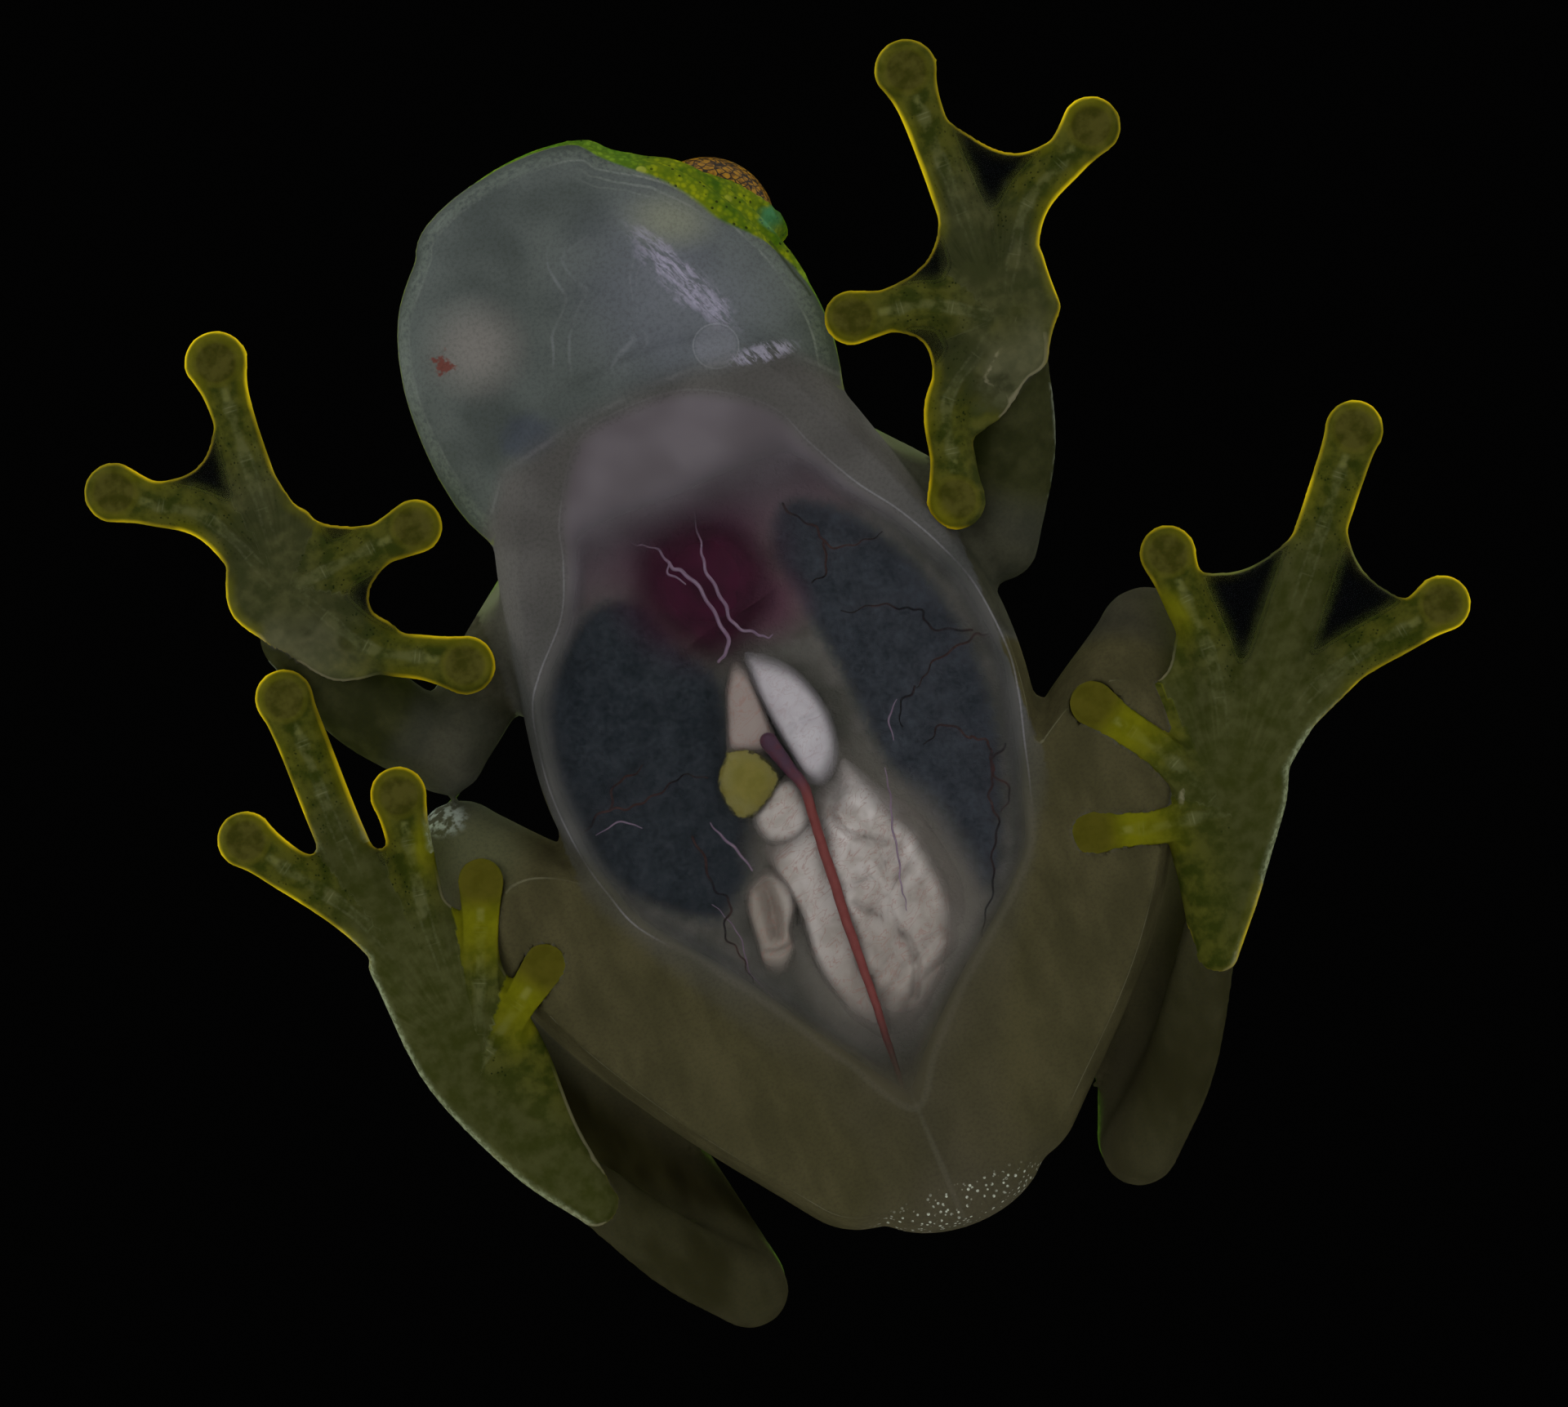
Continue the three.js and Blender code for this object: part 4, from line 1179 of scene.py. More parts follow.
class Finish:
    """A material with one surface shader. Places are read in millimetres."""

    def __init__(self, name, settings):
        self.material = bpy.data.materials.new(name)
        self.material.use_nodes = True
        self.tree = self.material.node_tree
        self.shader = self.tree.nodes["Principled BSDF"]
        for socket, value in settings.items():
            self.join(value, self.shader.inputs[socket])
        metres = self.node("TexCoord").outputs["Object"]
        self.place = self.node("VectorMath", {"operation": "SCALE"}, {0: metres, "Scale": 1000.0}).outputs[0]

    def join(self, value, socket):
        """A link where the value is a wire, and otherwise the socket's own number or colour."""
        value = value.socket if isinstance(value, Value) else value
        if isinstance(value, bpy.types.NodeSocket):
            self.tree.links.new(value, socket)
        elif socket.type == "RGBA":
            socket.default_value = (*value[:3], 1.0)
        else:
            socket.default_value = value

    def node(self, kind, settings=None, sockets=None):
        """Any node: its settings first, then the values or wires of its sockets."""
        made = self.tree.nodes.new("ShaderNode" + kind)
        for name, value in (settings or {}).items():
            setattr(made, name, value)
        for name, value in (sockets or {}).items():
            self.join(value, made.inputs[name])
        return made

    def math(self, operation, *values):
        return Value(self, self.node("Math", {"operation": operation}, dict(enumerate(values))).outputs[0])

    def read(self, name):
        """A number kept on the mesh."""
        return Value(self, self.node("Attribute", {"attribute_name": name}).outputs["Fac"])

    def axis(self, name):
        return Value(self, self.node("SeparateXYZ", None, {0: self.place}).outputs[name])

    def blend(self, share, first, second):
        """A colour between two: the first where the share is 0, the second where it is 1."""
        made = self.node("Mix", {"data_type": "RGBA"}, {0: share, 6: first, 7: second})
        return made.outputs[2]

    def cloud(self, per_mm, detail=2.0, rough=0.55, stretch=(1, 1, 1), turn=0.0, warp=0.0):
        """Noise between 0 and 1, with so many swells to the millimetre, drawn out along turned axes."""
        place = self.place
        if turn or stretch != (1, 1, 1):
            place = self.node("Mapping", {"vector_type": "TEXTURE"}, {
                "Vector": place, "Rotation": (0, 0, turn), "Scale": stretch}).outputs[0]
        made = self.node("TexNoise", None, {"Vector": place, "Scale": per_mm, "Detail": detail,
                                            "Roughness": rough, "Distortion": warp})
        return Value(self, made.outputs[0])

    def cells(self, per_mm, feature="F1"):
        """The distance to the nearest of scattered points, or to the nearest border between them."""
        made = self.node("TexVoronoi", {"feature": feature}, {"Vector": self.place, "Scale": per_mm})
        return Value(self, made.outputs[0])

    def spot(self, x, y, wide, long=None, turn=0.0, shift=None):
        """0 at a place in plan and 1 on the ellipse round it."""
        place = self.place
        if shift is not None:
            place = self.node("VectorMath", {"operation": "ADD"}, {0: place, 1: shift}).outputs[0]
        local = self.node("Mapping", {"vector_type": "TEXTURE"}, {
            "Vector": place, "Location": (x, y, 0), "Rotation": (0, 0, turn),
            "Scale": (wide, long or wide, 1e5)}).outputs[0]
        return Value(self, self.node("VectorMath", {"operation": "LENGTH"}, {0: local}).outputs["Value"])

    def wobble(self, per_mm, amount):
        """A small shift of the place, different at every point, for ragged edges."""
        made = self.node("TexNoise", None, {"Vector": self.place, "Scale": per_mm, "Detail": 2.0})
        centred = self.node("VectorMath", {"operation": "SUBTRACT"},
                            {0: made.outputs["Color"], 1: (0.5, 0.5, 0.5)}).outputs[0]
        return self.node("VectorMath", {"operation": "SCALE"}, {0: centred, "Scale": amount}).outputs[0]

    def bump(self, relief, depth):
        """A normal from a relief between 0 and 1 that is so many millimetres deep."""
        made = self.node("Bump", None, {"Height": relief, "Distance": depth * MM, "Strength": 1.0})
        return made.outputs[0]

    def set(self, **values):
        names = dict(colour="Base Color", coat="Coat Weight", alpha="Alpha", normal="Normal")
        for name, value in values.items():
            self.join(value, self.shader.inputs[names[name]])


def shade(*bytes_):
    """A colour as seen on a screen, 0 to 255 a channel, as the share of light it reflects."""
    c = np.array(bytes_) / 255
    return tuple(np.where(c <= 0.04045, c / 12.92, ((c + 0.055) / 1.055) ** 2.4).tolist())


BELLY_LIGHT = 0.42  # how brightly the pale floor lights what faces down, next to white in full light


def below(*bytes_):
    """The skin's colour where the photograph, lit from under the pane, shows this one."""
    return tuple(min(share / BELLY_LIGHT, 0.95) for share in shade(*bytes_))


print("olive of the thigh, as a share of light:", np.round(below(53, 50, 33), 3).tolist())

# %% [markdown]
# Seen from below the skin is thin and colourless over grey and olive flesh, and the hands and feet turn
# yellow towards their edges, with a painted glow of light through them there. Seen from above it is lime
# green, finely grained, with small pale yellow spots. The same few functions colour every region, so that
# no edge shows between two of them, but each region gets only those that it needs: a finish that does less
# is drawn faster.
# region gets only those that it needs: a finish that does less is drawn faster.

# %% Flesh seen from below


def flesh(f, read):
    """The flesh behind the skin, from the trunk out along the limbs."""
    slow, mottle, muscle = f.cloud(0.6, 1), f.cloud(1.7, 2), f.cloud(1.2, 2, stretch=(1, 2.2, 1))
    chest, neck, flank, rear = (
        f.blend(slow.ease(0.35, 0.65), below(*dark), below(*light))
        for dark, light in (((66, 62, 66), (78, 74, 79)), ((59, 58, 57), (67, 66, 65)),
                            ((50, 51, 50), (60, 60, 59)), ((47, 45, 33), (54, 51, 39))))
    chest = f.blend(read["inside"].ease(-0.1, 0.3), neck, chest)
    colour = f.blend(f.axis("Y").ease(-5.2, -2.5), chest, flank)
    colour = f.blend(f.axis("Y").ease(3.0, 7.0), colour, rear)
    # The shank's darker olive is painted shade: its skin is like the thigh's, but it lies back from the pane,
    # behind the foot.
    for part, grain, dark, light in (("upper_arm", mottle, (36, 36, 26), (48, 47, 38)),
                                     ("forearm", mottle, (26, 28, 13), (37, 38, 21)),
                                     ("thigh", muscle, (46, 44, 28), (56, 53, 35)),
                                     ("shank", muscle, (17, 15, 5), (30, 28, 14)),
                                     ("tarsus", muscle, (27, 26, 13), (37, 36, 22))):
        tone = f.blend(grain.ease(0.3, 0.7), below(*dark), below(*light))
        colour = f.blend(read[part].ease(0.1, 0.9), colour, tone)
    knee = f.spot(-6.7, -0.1, 1.4).under(0.2, 1.1)
    return f.blend(knee * 0.8, colour, below(64, 66, 47)), slow


def belly_lines(f, read, colour, slow):
    """The thin pale edge of the belly's contact with the pane, the soft V at its rear, the edges of the legs'
    contact, the specks at the vent and the white patch of one knee. The pale contact edges are a painted
    highlight of the wet rim where the skin leaves the pane."""
    waver = (slow - 0.5) * 0.2
    inside = read["inside"]
    rear = f.axis("Y").ease(2.4, 3.6)
    # Painted highlight: a thin pale line along the wet rim where the belly leaves the pane.
    edge = inside.stripe(0.0, 0.006, 0.025) * (1 - rear) * (0.2 + f.axis("Y").ease(-7.0, -4.0) * 0.8)
    colour = f.blend(edge * slow.ease(0.2, 0.7) * 0.5, colour, below(108, 108, 114))
    vee = (inside + waver).stripe(0.03, 0.01, 0.12) * rear
    colour = f.blend(vee * 0.2, colour, below(76, 74, 67))
    seam = f.spot(0.2, 10.0, 0.08, 1.9, -0.03).under(0.3, 1.2)
    colour = f.blend(seam * 0.25, colour, below(74, 72, 64))
    leg = (read["thigh"] + read["upper_arm"]).ease(0.4, 0.9)
    # Painted highlight: a thin pale line along the wet rim where the legs leave the pane.
    contact = read["height"].stripe(0.03, 0.008, 0.018) * leg * slow.ease(0.4, 0.6)
    colour = f.blend(contact * 0.35, colour, below(100, 100, 84))
    grey = f.cloud(5, 2)
    specks = f.spot(0.4, 10.85, 2.6, 0.5, 0.0).under(0.55, 1.1) * f.cells(8).under(0.2, 0.32)
    colour = f.blend(specks * grey.ease(0.4, 0.55) * 0.9, colour, below(150, 156, 146))
    knee = f.spot(-7.2, -0.9, 0.6, 0.42, 0.3).under(0.5, 1.1) * grey.ease(0.42, 0.6)
    colour = f.blend(knee * 0.7, colour, below(118, 126, 122))
    fold = read["outer"].stripe(0.98, 0.05, 0.1) * grey.ease(0.4, 0.55)
    fold = fold * (read["forearm"] + read["tarsus"]).ease(0.3, 0.8) * (1 - read["upper"])
    return f.blend(fold * 0.6, colour, below(96, 102, 92))


# %% The throat


def throat(f, read, flesh_colour, slow):
    """Grey skin over the jaw's floor, with windows, vessels and a torn white sheet behind it."""
    ragged = f.wobble(3, 0.5)
    fine = f.wobble(8, 0.22)
    fine_grain = f.cloud(9, 2)
    lean = -0.44
    fibres = f.cloud(6, 3, 0.7, stretch=(0.6, 2.6, 1), turn=lean, warp=0.4)
    slack = f.cloud(0.9, 3)
    colour = f.blend(slow.ease(0.3, 0.7), below(52, 57, 56), below(66, 71, 70))
    haze = f.spot(1.5, -9.6, 2.6, 3.0, lean).under(0.1, 1.1)
    colour = f.blend(haze * (0.35 + slack * 0.6), colour, below(84, 87, 96))
    glow = f.spot(-2.85, -10.1, 1.3).under(0.1, 1.1)
    colour = f.blend(glow * 0.85, colour, below(92, 90, 88))
    glow = f.spot(2.05, -11.2, 1.2, 0.75, 0.5).under(0.1, 1.1)
    colour = f.blend(glow * 0.65, colour, below(98, 101, 86))
    across = f.axis("X") + f.axis("Y") * 0.42 + (f.cloud(0.6, 1) - 0.5) * 2.2
    middle = f.spot(-0.2, -9.9, 2.0, 2.0, -0.3).under(0.5, 1.0)
    for place, strength in ((-5.1, 0.3), (-4.75, 0.2), (-3.7, 0.35), (-3.5, 0.2)):
        crease = across.stripe(place, 0.006, 0.05) * slack.ease(0.35, 0.6)
        colour = f.blend(crease * middle * strength, colour, below(104, 106, 112))
    sheet = f.spot(1.85, -9.9, 0.42, 1.75, lean, ragged).under(0.35, 1.15) * fibres.ease(0.38, 0.6)
    colour = f.blend(sheet * 0.75, colour, below(124, 121, 140))
    strands = f.spot(2.9, -7.8, 0.95, 0.26, 0.1, fine).under(0.4, 1.0) * fibres.ease(0.4, 0.55)
    patch = f.spot(2.75, -6.9, 0.32, 0.13, 0.35, fine).under(0.5, 1.0) * fibres.ease(0.35, 0.5)
    disc = f.spot(2.0, -8.3, 0.5)
    colour = f.blend(disc.under(0.8, 1.0) * 0.6, colour, below(92, 94, 102))
    colour = f.blend(disc.stripe(0.98, 0.01, 0.05) * 0.25, colour, below(128, 130, 138))
    red = f.spot(-3.65, -10.1, 0.24, 0.34, 0.3, f.wobble(6, 0.6)).under(0.5, 0.9)
    colour = f.blend(red * 0.85, colour, below(78, 38, 32))
    blotch = f.spot(-2.5, -7.9, 0.7, 0.6, 0, ragged).under(0.4, 1.2)
    colour = f.blend(blotch * 0.6, colour, below(44, 48, 60))
    jaw, waver = read["jaw"], (slack - 0.5) * 0.3
    # Painted shade: the skin darkens towards the jaw's edge, where the head curves up off the pane.
    colour = f.blend(jaw.under(0.0, 0.5) * 0.45, colour, below(36, 42, 34))
    band = jaw.stripe(0.28, 0.05, 0.15) * (0.1 + slow * 0.3) * fine_grain.ease(0.3, 0.6)
    colour = f.blend(band, colour, below(92, 100, 92))
    beside = f.axis("X").ease(-1.0, 2.0)
    front = f.spot(2.0, -12.1, 2.0, 1.1, 0.4).under(0.3, 1.0)
    layers = (jaw + waver * 0.3).stripe(0.42, 0.008, 0.03) * (0.35 + beside * 0.65)
    layers = layers * fibres.ease(0.3, 0.6) + (jaw + waver).stripe(0.62, 0.008, 0.03) * front * 0.8
    layers = layers + (jaw - waver).stripe(0.78, 0.006, 0.03) * front * 0.5
    colour = f.blend(layers * slack.ease(0.3, 0.6) * 0.35, colour, below(112, 116, 112))
    collar = read["collar"] + waver * 0.6
    colour = f.blend(collar.ease(-0.4, 0.4), flesh_colour, colour)
    colour = f.blend(collar.stripe(0.0, 0.01, 0.08) * slack.ease(0.35, 0.65) * 0.2, colour, below(96, 95, 98))
    return f.blend(strands.most(patch) * 0.8, colour, below(120, 118, 134))


# %% Hands and feet


def paw_colour(f, read, colour):
    """Olive pads, faint bones and joints, dark dots beside them, tendons that fan out of the palm, clear
    dark webs and a bright yellow edge where the digit rounds up off the pane: yellow skin with a painted
    glow of light through it. The yellow ring round each disc and the pale line along the contact under the
    limbs are a painted highlight of the wet rim on the pane."""
    foot, end, hub, fan = (read[name] for name in ("foot", "to_tip", "to_hub", "fan"))
    rim, tilt, web, over = (read[name] for name in ("from_outline", "tilt", "web", "over"))
    aside = read["aside"]
    off = abs(aside)
    blur, fine, slow = f.cloud(2.6, 3), f.cloud(9, 2), f.cloud(0.8, 2)
    palm = f.blend(blur.ease(0.3, 0.7), below(36, 39, 20), below(52, 53, 31))
    sole = f.blend(blur.ease(0.3, 0.7), below(35, 38, 13), below(47, 49, 25))
    inner = f.blend(foot, palm, sole)
    cuff = over * (1 - foot) * (0.2 + blur * 0.6)
    inner = f.blend(cuff * hub.ease(0.2, 1.2), inner, below(72, 72, 54))
    dark = slow.ease(0.46, 0.58) * hub.ease(0.5, 1.1) * end.ease(1.4, 2.0) * (1 - foot)
    inner = f.blend(dark * blur.ease(0.3, 0.6) * 0.7, inner, below(20, 24, 10))
    finger = f.blend(blur.ease(0.35, 0.65), below(30, 36, 6), below(54, 55, 14))
    inner = f.blend(end.under(1.6, 3.2) * 0.8, inner, finger)
    knob = abs(f.math("COSINE", (end - 1.05) * (np.pi / 1.12))) ** 6
    bone = (off - knob * 0.06).under(0.03, 0.14) * end.ease(0.7, 0.95)
    inner = f.blend(bone * blur.ease(0.35, 0.65) * end.under(2.4, 3.6) * 0.3, inner, below(74, 78, 54))
    across = f.math("COSINE", end * (TAU / 0.1)).ease(0.2, 0.9) * knob.ease(0.86, 0.96)
    across = across * off.under(0.04, 0.2) * end.ease(0.6, 0.9) * end.under(3.0, 3.6) * blur
    inner = f.blend(across * 0.35, inner, below(96, 100, 76))
    tendon = (off + (slow - 0.5) * 0.2).stripe(0.1, 0.01, 0.04) * end.ease(1.4, 2.4)
    tendon = tendon * end.under(3.4, 4.6) * fine.ease(0.3, 0.7) * (1 - over)
    inner = f.blend(tendon * 0.14, inner, below(90, 92, 70))
    ray_place = f.node("CombineXYZ", None, {0: fan * 7.0, 1: hub * 0.3, 2: foot * 5}).outputs[0]
    rays = Value(f, f.node("TexNoise", None, {"Vector": ray_place, "Scale": 1.6, "Detail": 2.0}).outputs[0])
    rays = rays.stripe(0.5, 0.02, 0.12) * hub.ease(0.6, 2.0) * hub.under(3.0, 4.5) * end.ease(0.8, 2.2)
    rays = rays * abs(fan).under(0.7, 1.3) * blur
    inner = f.blend(rays * 0.12, inner, below(84, 86, 56))
    dots = f.cells(9.5).under(0.16, 0.3) * f.cloud(3.2, 2).ease(0.38, 0.52) * off.ease(0.12, 0.24)
    dots = dots * off.under(0.6, 0.8) * (1 - over) * web.under(0.05, 0.4)
    inner = f.blend(dots * end.ease(0.7, 1.1) * end.under(2.6, 3.8) * 0.8, inner, below(12, 20, 5))
    pad = (aside * aside + end * end) ** 0.5
    pads = f.blend(blur.ease(0.35, 0.65), below(38, 38, 9), below(54, 52, 20))
    inner = f.blend(pad.under(0.42, 0.62) * 0.9, inner, pads)
    # A yellow ring round each disc: painted highlight of its wet rim on the pane.
    inner = f.blend(pad.stripe(0.48, 0.02, 0.08) * (0.05 + slow * 0.2), inner, below(80, 80, 18))
    first = over * foot * end.under(0.9, 2.3) * off.under(0.5, 0.8) * (0.4 + blur * 0.5)
    yellow = f.blend(end.ease(0.25, 0.8), below(58, 55, 11), below(84, 84, 6))
    inner = f.blend(first, inner, yellow)
    bone = off.under(0.02, 0.13) * end.stripe(0.72, 0.08, 0.12) * blur.ease(0.3, 0.5)
    inner = f.blend(bone * 0.22, inner, below(108, 110, 66))
    bluish = f.cells(4.5).under(0.1, 0.3) * blur.ease(0.4, 0.6)
    clear = f.blend(bluish * 0.6, below(10, 12, 14), below(26, 30, 36))
    inner = f.blend(web, inner, clear)
    # The yellow halo and line along the digits' and webs' edges: yellow skin where the digit rounds up, with
    # a painted glow of light through it.
    uneven = f.cloud(0.55, 2).ease(0.4, 0.6)
    reach = (1 - over) * end.under(2.4, 4.4).most((1 - foot) * 0.85).most(web)
    yellow_glow_halo = rim.under(0.0, 0.32) * reach * (1 - web * 0.7)
    inner = f.blend(yellow_glow_halo * (0.1 + uneven * 0.6), inner, below(76, 74, 8))
    edge = f.blend(web * foot, below(172, 150, 16), below(92, 96, 50))
    line = (abs(tilt).under(0.3, 0.7) * (1 - web)).most(rim.under(0.02, 0.09) * web * 0.7) * reach
    inner = f.blend(line * (0.3 + uneven * 0.7), inner, edge)
    bare = (1 - reach) * foot * (1 - web)
    side = abs(tilt).under(0.5, 0.85) * read["outer"].ease(0.3, 0.8) * bare
    inner = f.blend(side * (0.3 + fine.ease(0.4, 0.6) * 0.5), inner, below(104, 112, 88))
    # A pale line along the contact under the limbs: painted highlight of the wet rim on the pane.
    contact = rim.stripe(0.03, 0.01, 0.03) * over * end.ease(1.6, 2.4)
    inner = f.blend(contact * 0.4, inner, below(112, 108, 88))
    return f.blend(read["paw"].ease(0.35, 0.85), colour, inner)


# %% The back


def upper_side(f, paw=None):
    """Lime green with a fine grain, small yellow spots and tiny dark dots. Beside the left eye, which
    the photograph shows, the green is yellower, with denser dots and a blue-green spot on the lid."""
    granules = f.cells(7.5)
    beside = f.spot(3.4, -11.2, 2.6).under(0.6, 1.0)
    dark = f.blend(beside, shade(84, 128, 26), shade(62, 100, 10))
    light = f.blend(beside, shade(122, 156, 38), shade(152, 162, 14))
    colour = f.blend(f.cloud(1.3, 3).ease(0.3, 0.7), dark, light)
    colour = f.blend(granules.ease(0.2, 0.65) * 0.55, colour, shade(50, 84, 14))
    colour = f.blend(f.cells(0.85).under(0.085, 0.12) * (0.85 - beside * 0.6), colour, shade(196, 200, 84))
    colour = f.blend(f.cells(3.4).under(0.06, 0.1) * 0.85, colour, shade(14, 24, 8))
    colour = f.blend(f.cells(4.6).under(0.12, 0.2) * beside * 0.8, colour, shade(14, 26, 8))
    lid = f.spot(4.15, -10.5, 0.4, 0.3, 0.9, f.wobble(3, 0.3)).under(0.4, 1.1) * f.axis("Z").under(2.4, 3.0)
    colour = f.blend(lid * 0.8, colour, shade(80, 150, 112))
    if paw is not None:
        colour = f.blend(paw.ease(0.1, 0.9), colour, shade(150, 168, 50))
    return colour, granules


def nostrils(f, colour):
    for sign in SIDES.values():
        away = f.node("VectorMath", {"operation": "DISTANCE"}, {0: f.place, 1: tuple(on_face(NOSTRIL, sign))})
        colour = f.blend(Value(f, away.outputs["Value"]).under(0.1, 0.17), colour, shade(26, 34, 16))
    return colour


ATTRIBUTES = ("head", "upper_arm", "forearm", "thigh", "shank", "tarsus", "paw", "foot", "upper", "height",
              "lip", "inside", "jaw", "collar", "aside", "to_tip", "to_hub", "fan", "outer", "web", "over",
              "from_outline", "tilt")
GLOSS = {"Coat Roughness": 0.3, "Specular IOR Level": 0.0, "Roughness": 0.5}
MOIST = 0.12  # weight of the wet coat on the green skin
GRANULES = 0.03  # height of its grain, in mm


def skin_finish(name, face=False, paws=False, back=False, clear=False):
    """One region of the skin, made of the functions above."""
    f = Finish(name, GLOSS)
    if back:
        colour, granules = upper_side(f)
        f.set(colour=nostrils(f, colour), coat=MOIST, normal=f.bump(1 - granules, GRANULES))
        return f
    read = {name: f.read(name) for name in ATTRIBUTES}
    colour, slow = flesh(f, read)
    if face:
        colour = throat(f, read, colour, slow)
    if not paws:
        colour = belly_lines(f, read, colour, slow)
    if clear and not paws:
        veil = read["inside"].ease(0.03, 0.6)
        chestward, tailward = f.axis("Y").ease(-6.4, -4.3), f.axis("Y").under(5.8, 8.4)
        thin = veil * chestward * (0.25 + tailward * 0.7)
        stain = f.spot(-0.05, -3.6, 2.0, 2.2).under(0.2, 1.0)
        tint = f.blend(stain, below(34, 37, 42), below(34, 9, 24))
        f.set(colour=f.blend(thin * 0.85, colour, tint), alpha=1 - thin)
        return f
    grain = f.cloud(13, 2, 0.7)
    colour = f.blend(grain.ease(0.4, 0.7) * 0.2, colour, below(20, 20, 18))
    if paws:
        colour = paw_colour(f, read, colour)
    top, granules = upper_side(f, read["paw"])
    turning = (read["upper"] + (slow - 0.5) * 0.3).ease(0.25, 0.6) * (1 - read["web"] * 0.8)
    turning = turning * read["tilt"].ease(-0.7, -0.1).most(read["head"])
    turning = turning.most(read["tilt"].ease(-0.05, 0.3) * (1 - read["paw"] - read["head"]))
    turning = turning.most(read["tilt"].ease(0.3, 0.8) * read["paw"] * (1 - read["web"]))
    trunk = 1 - read["head"] - read["paw"] - read["thigh"] - read["shank"] - read["tarsus"]
    flank = read["upper"].stripe(0.3, 0.1, 0.15) * trunk.ease(0.3, 0.9)
    colour = f.blend(flank * 0.4, colour, shade(140, 150, 112))
    colour = f.blend(turning, colour, top)
    if face:
        edge = read["tilt"].stripe(-0.1, 0.05, 0.2) * grain.ease(0.35, 0.55) * (1 - turning)
        colour = f.blend(edge * 0.6, colour, shade(120, 134, 40))
        colour = f.blend(read["lip"].stripe(0.0, 0.02, 0.03) * 0.6, colour, shade(50, 60, 34))
        colour = nostrils(f, colour)
    if clear:
        f.set(alpha=1 - read["web"] * read["from_outline"].ease(0.03, 0.12) * 0.7)
    f.set(colour=colour, coat=turning * MOIST, normal=f.bump((1 - granules) * turning, GRANULES))
    return f


skin_finishes = [
    skin_finish("skin_flesh"),
    skin_finish("skin_window", clear=True),
    skin_finish("skin_face", face=True),
    skin_finish("skin_paws", paws=True),
    skin_finish("skin_back", back=True),
    skin_finish("skin_webs", paws=True, clear=True),
]
print("nodes in each finish:", {f.material.name: len(f.tree.nodes) for f in skin_finishes})

# %% Give each face of the skin its finish
TRACE = 0.02  # a share below this doesn't show
THROAT_END = -0.35  # how far behind the collar the throat's finish still shows, in mm
starts = np.empty(len(body.data.polygons), int)
body.data.polygons.foreach_get("loop_start", starts)
corners = np.empty(len(body.data.loops), int)
body.data.loops.foreach_get("vertex_index", corners)


def lowest(values):
    return np.minimum.reduceat(values[corners], starts)


def highest(values):
    return np.maximum.reduceat(values[corners], starts)


slot = {f.material.name: number for number, f in enumerate(skin_finishes)}
region = np.full(len(starts), slot["skin_flesh"], np.int32)
region[(highest(head) > TRACE) & (highest(collar) > THROAT_END)] = slot["skin_face"]
region[highest(paw) > TRACE] = slot["skin_paws"]
region[(lowest(upper) > 0.77) & (highest(paw) < TRACE)] = slot["skin_back"]
flat = (highest(skin[:, 2]) < 1e-6) & (highest(paw) < TRACE) & (highest(collar) < THROAT_END)
region[flat & (lowest(inside) > TRACE)] = slot["skin_window"]
region[(highest(web) > TRACE) & (highest(paw) > TRACE)] = slot["skin_webs"]
body.data.materials.clear()
for f in skin_finishes:
    body.data.materials.append(f.material)
body.data.polygons.foreach_set("material_index", region)
body.data.update()
print("faces of each finish:", np.bincount(region).tolist())

# %% [markdown]
# The upper side is smooth and evenly coloured, so it needs fewer faces than the hands' pads, the face and
# the belly. The Decimate modifier joins points where the surface bends least, and a vertex group keeps
# it to the upper side behind the head.

# %% Thin out the upper side
MOST_TRIANGLES = 196000
before = len(body.data.loops) - 2 * len(body.data.polygons)
plain = np.flatnonzero((upper > 0.9) & (head < 0.05) & (web < 0.02))
body.vertex_groups.new(name="upper_side").add(plain.tolist(), 1.0, "REPLACE")
thinning = body.modifiers.new("thin_out", "DECIMATE")
thinning.ratio = MOST_TRIANGLES / before
thinning.vertex_group = "upper_side"
thinning.vertex_group_factor = 1.0
bake(body)
body.vertex_groups.clear()
after = len(body.data.loops) - 2 * len(body.data.polygons)
print("triangles of the skin:", before, "then", after, "with", len(plain), "points free to join")

# %% [markdown]
# The organs have wet, closed surfaces. White ones are never plain white: fat and thin vessels tint them
# pink and cream, and painted shade darkens them where two folds meet. The dark cavity is finely mottled.

# %% Finishes of the organs
WET = {"Specular IOR Level": 0.1, "Roughness": 0.5}


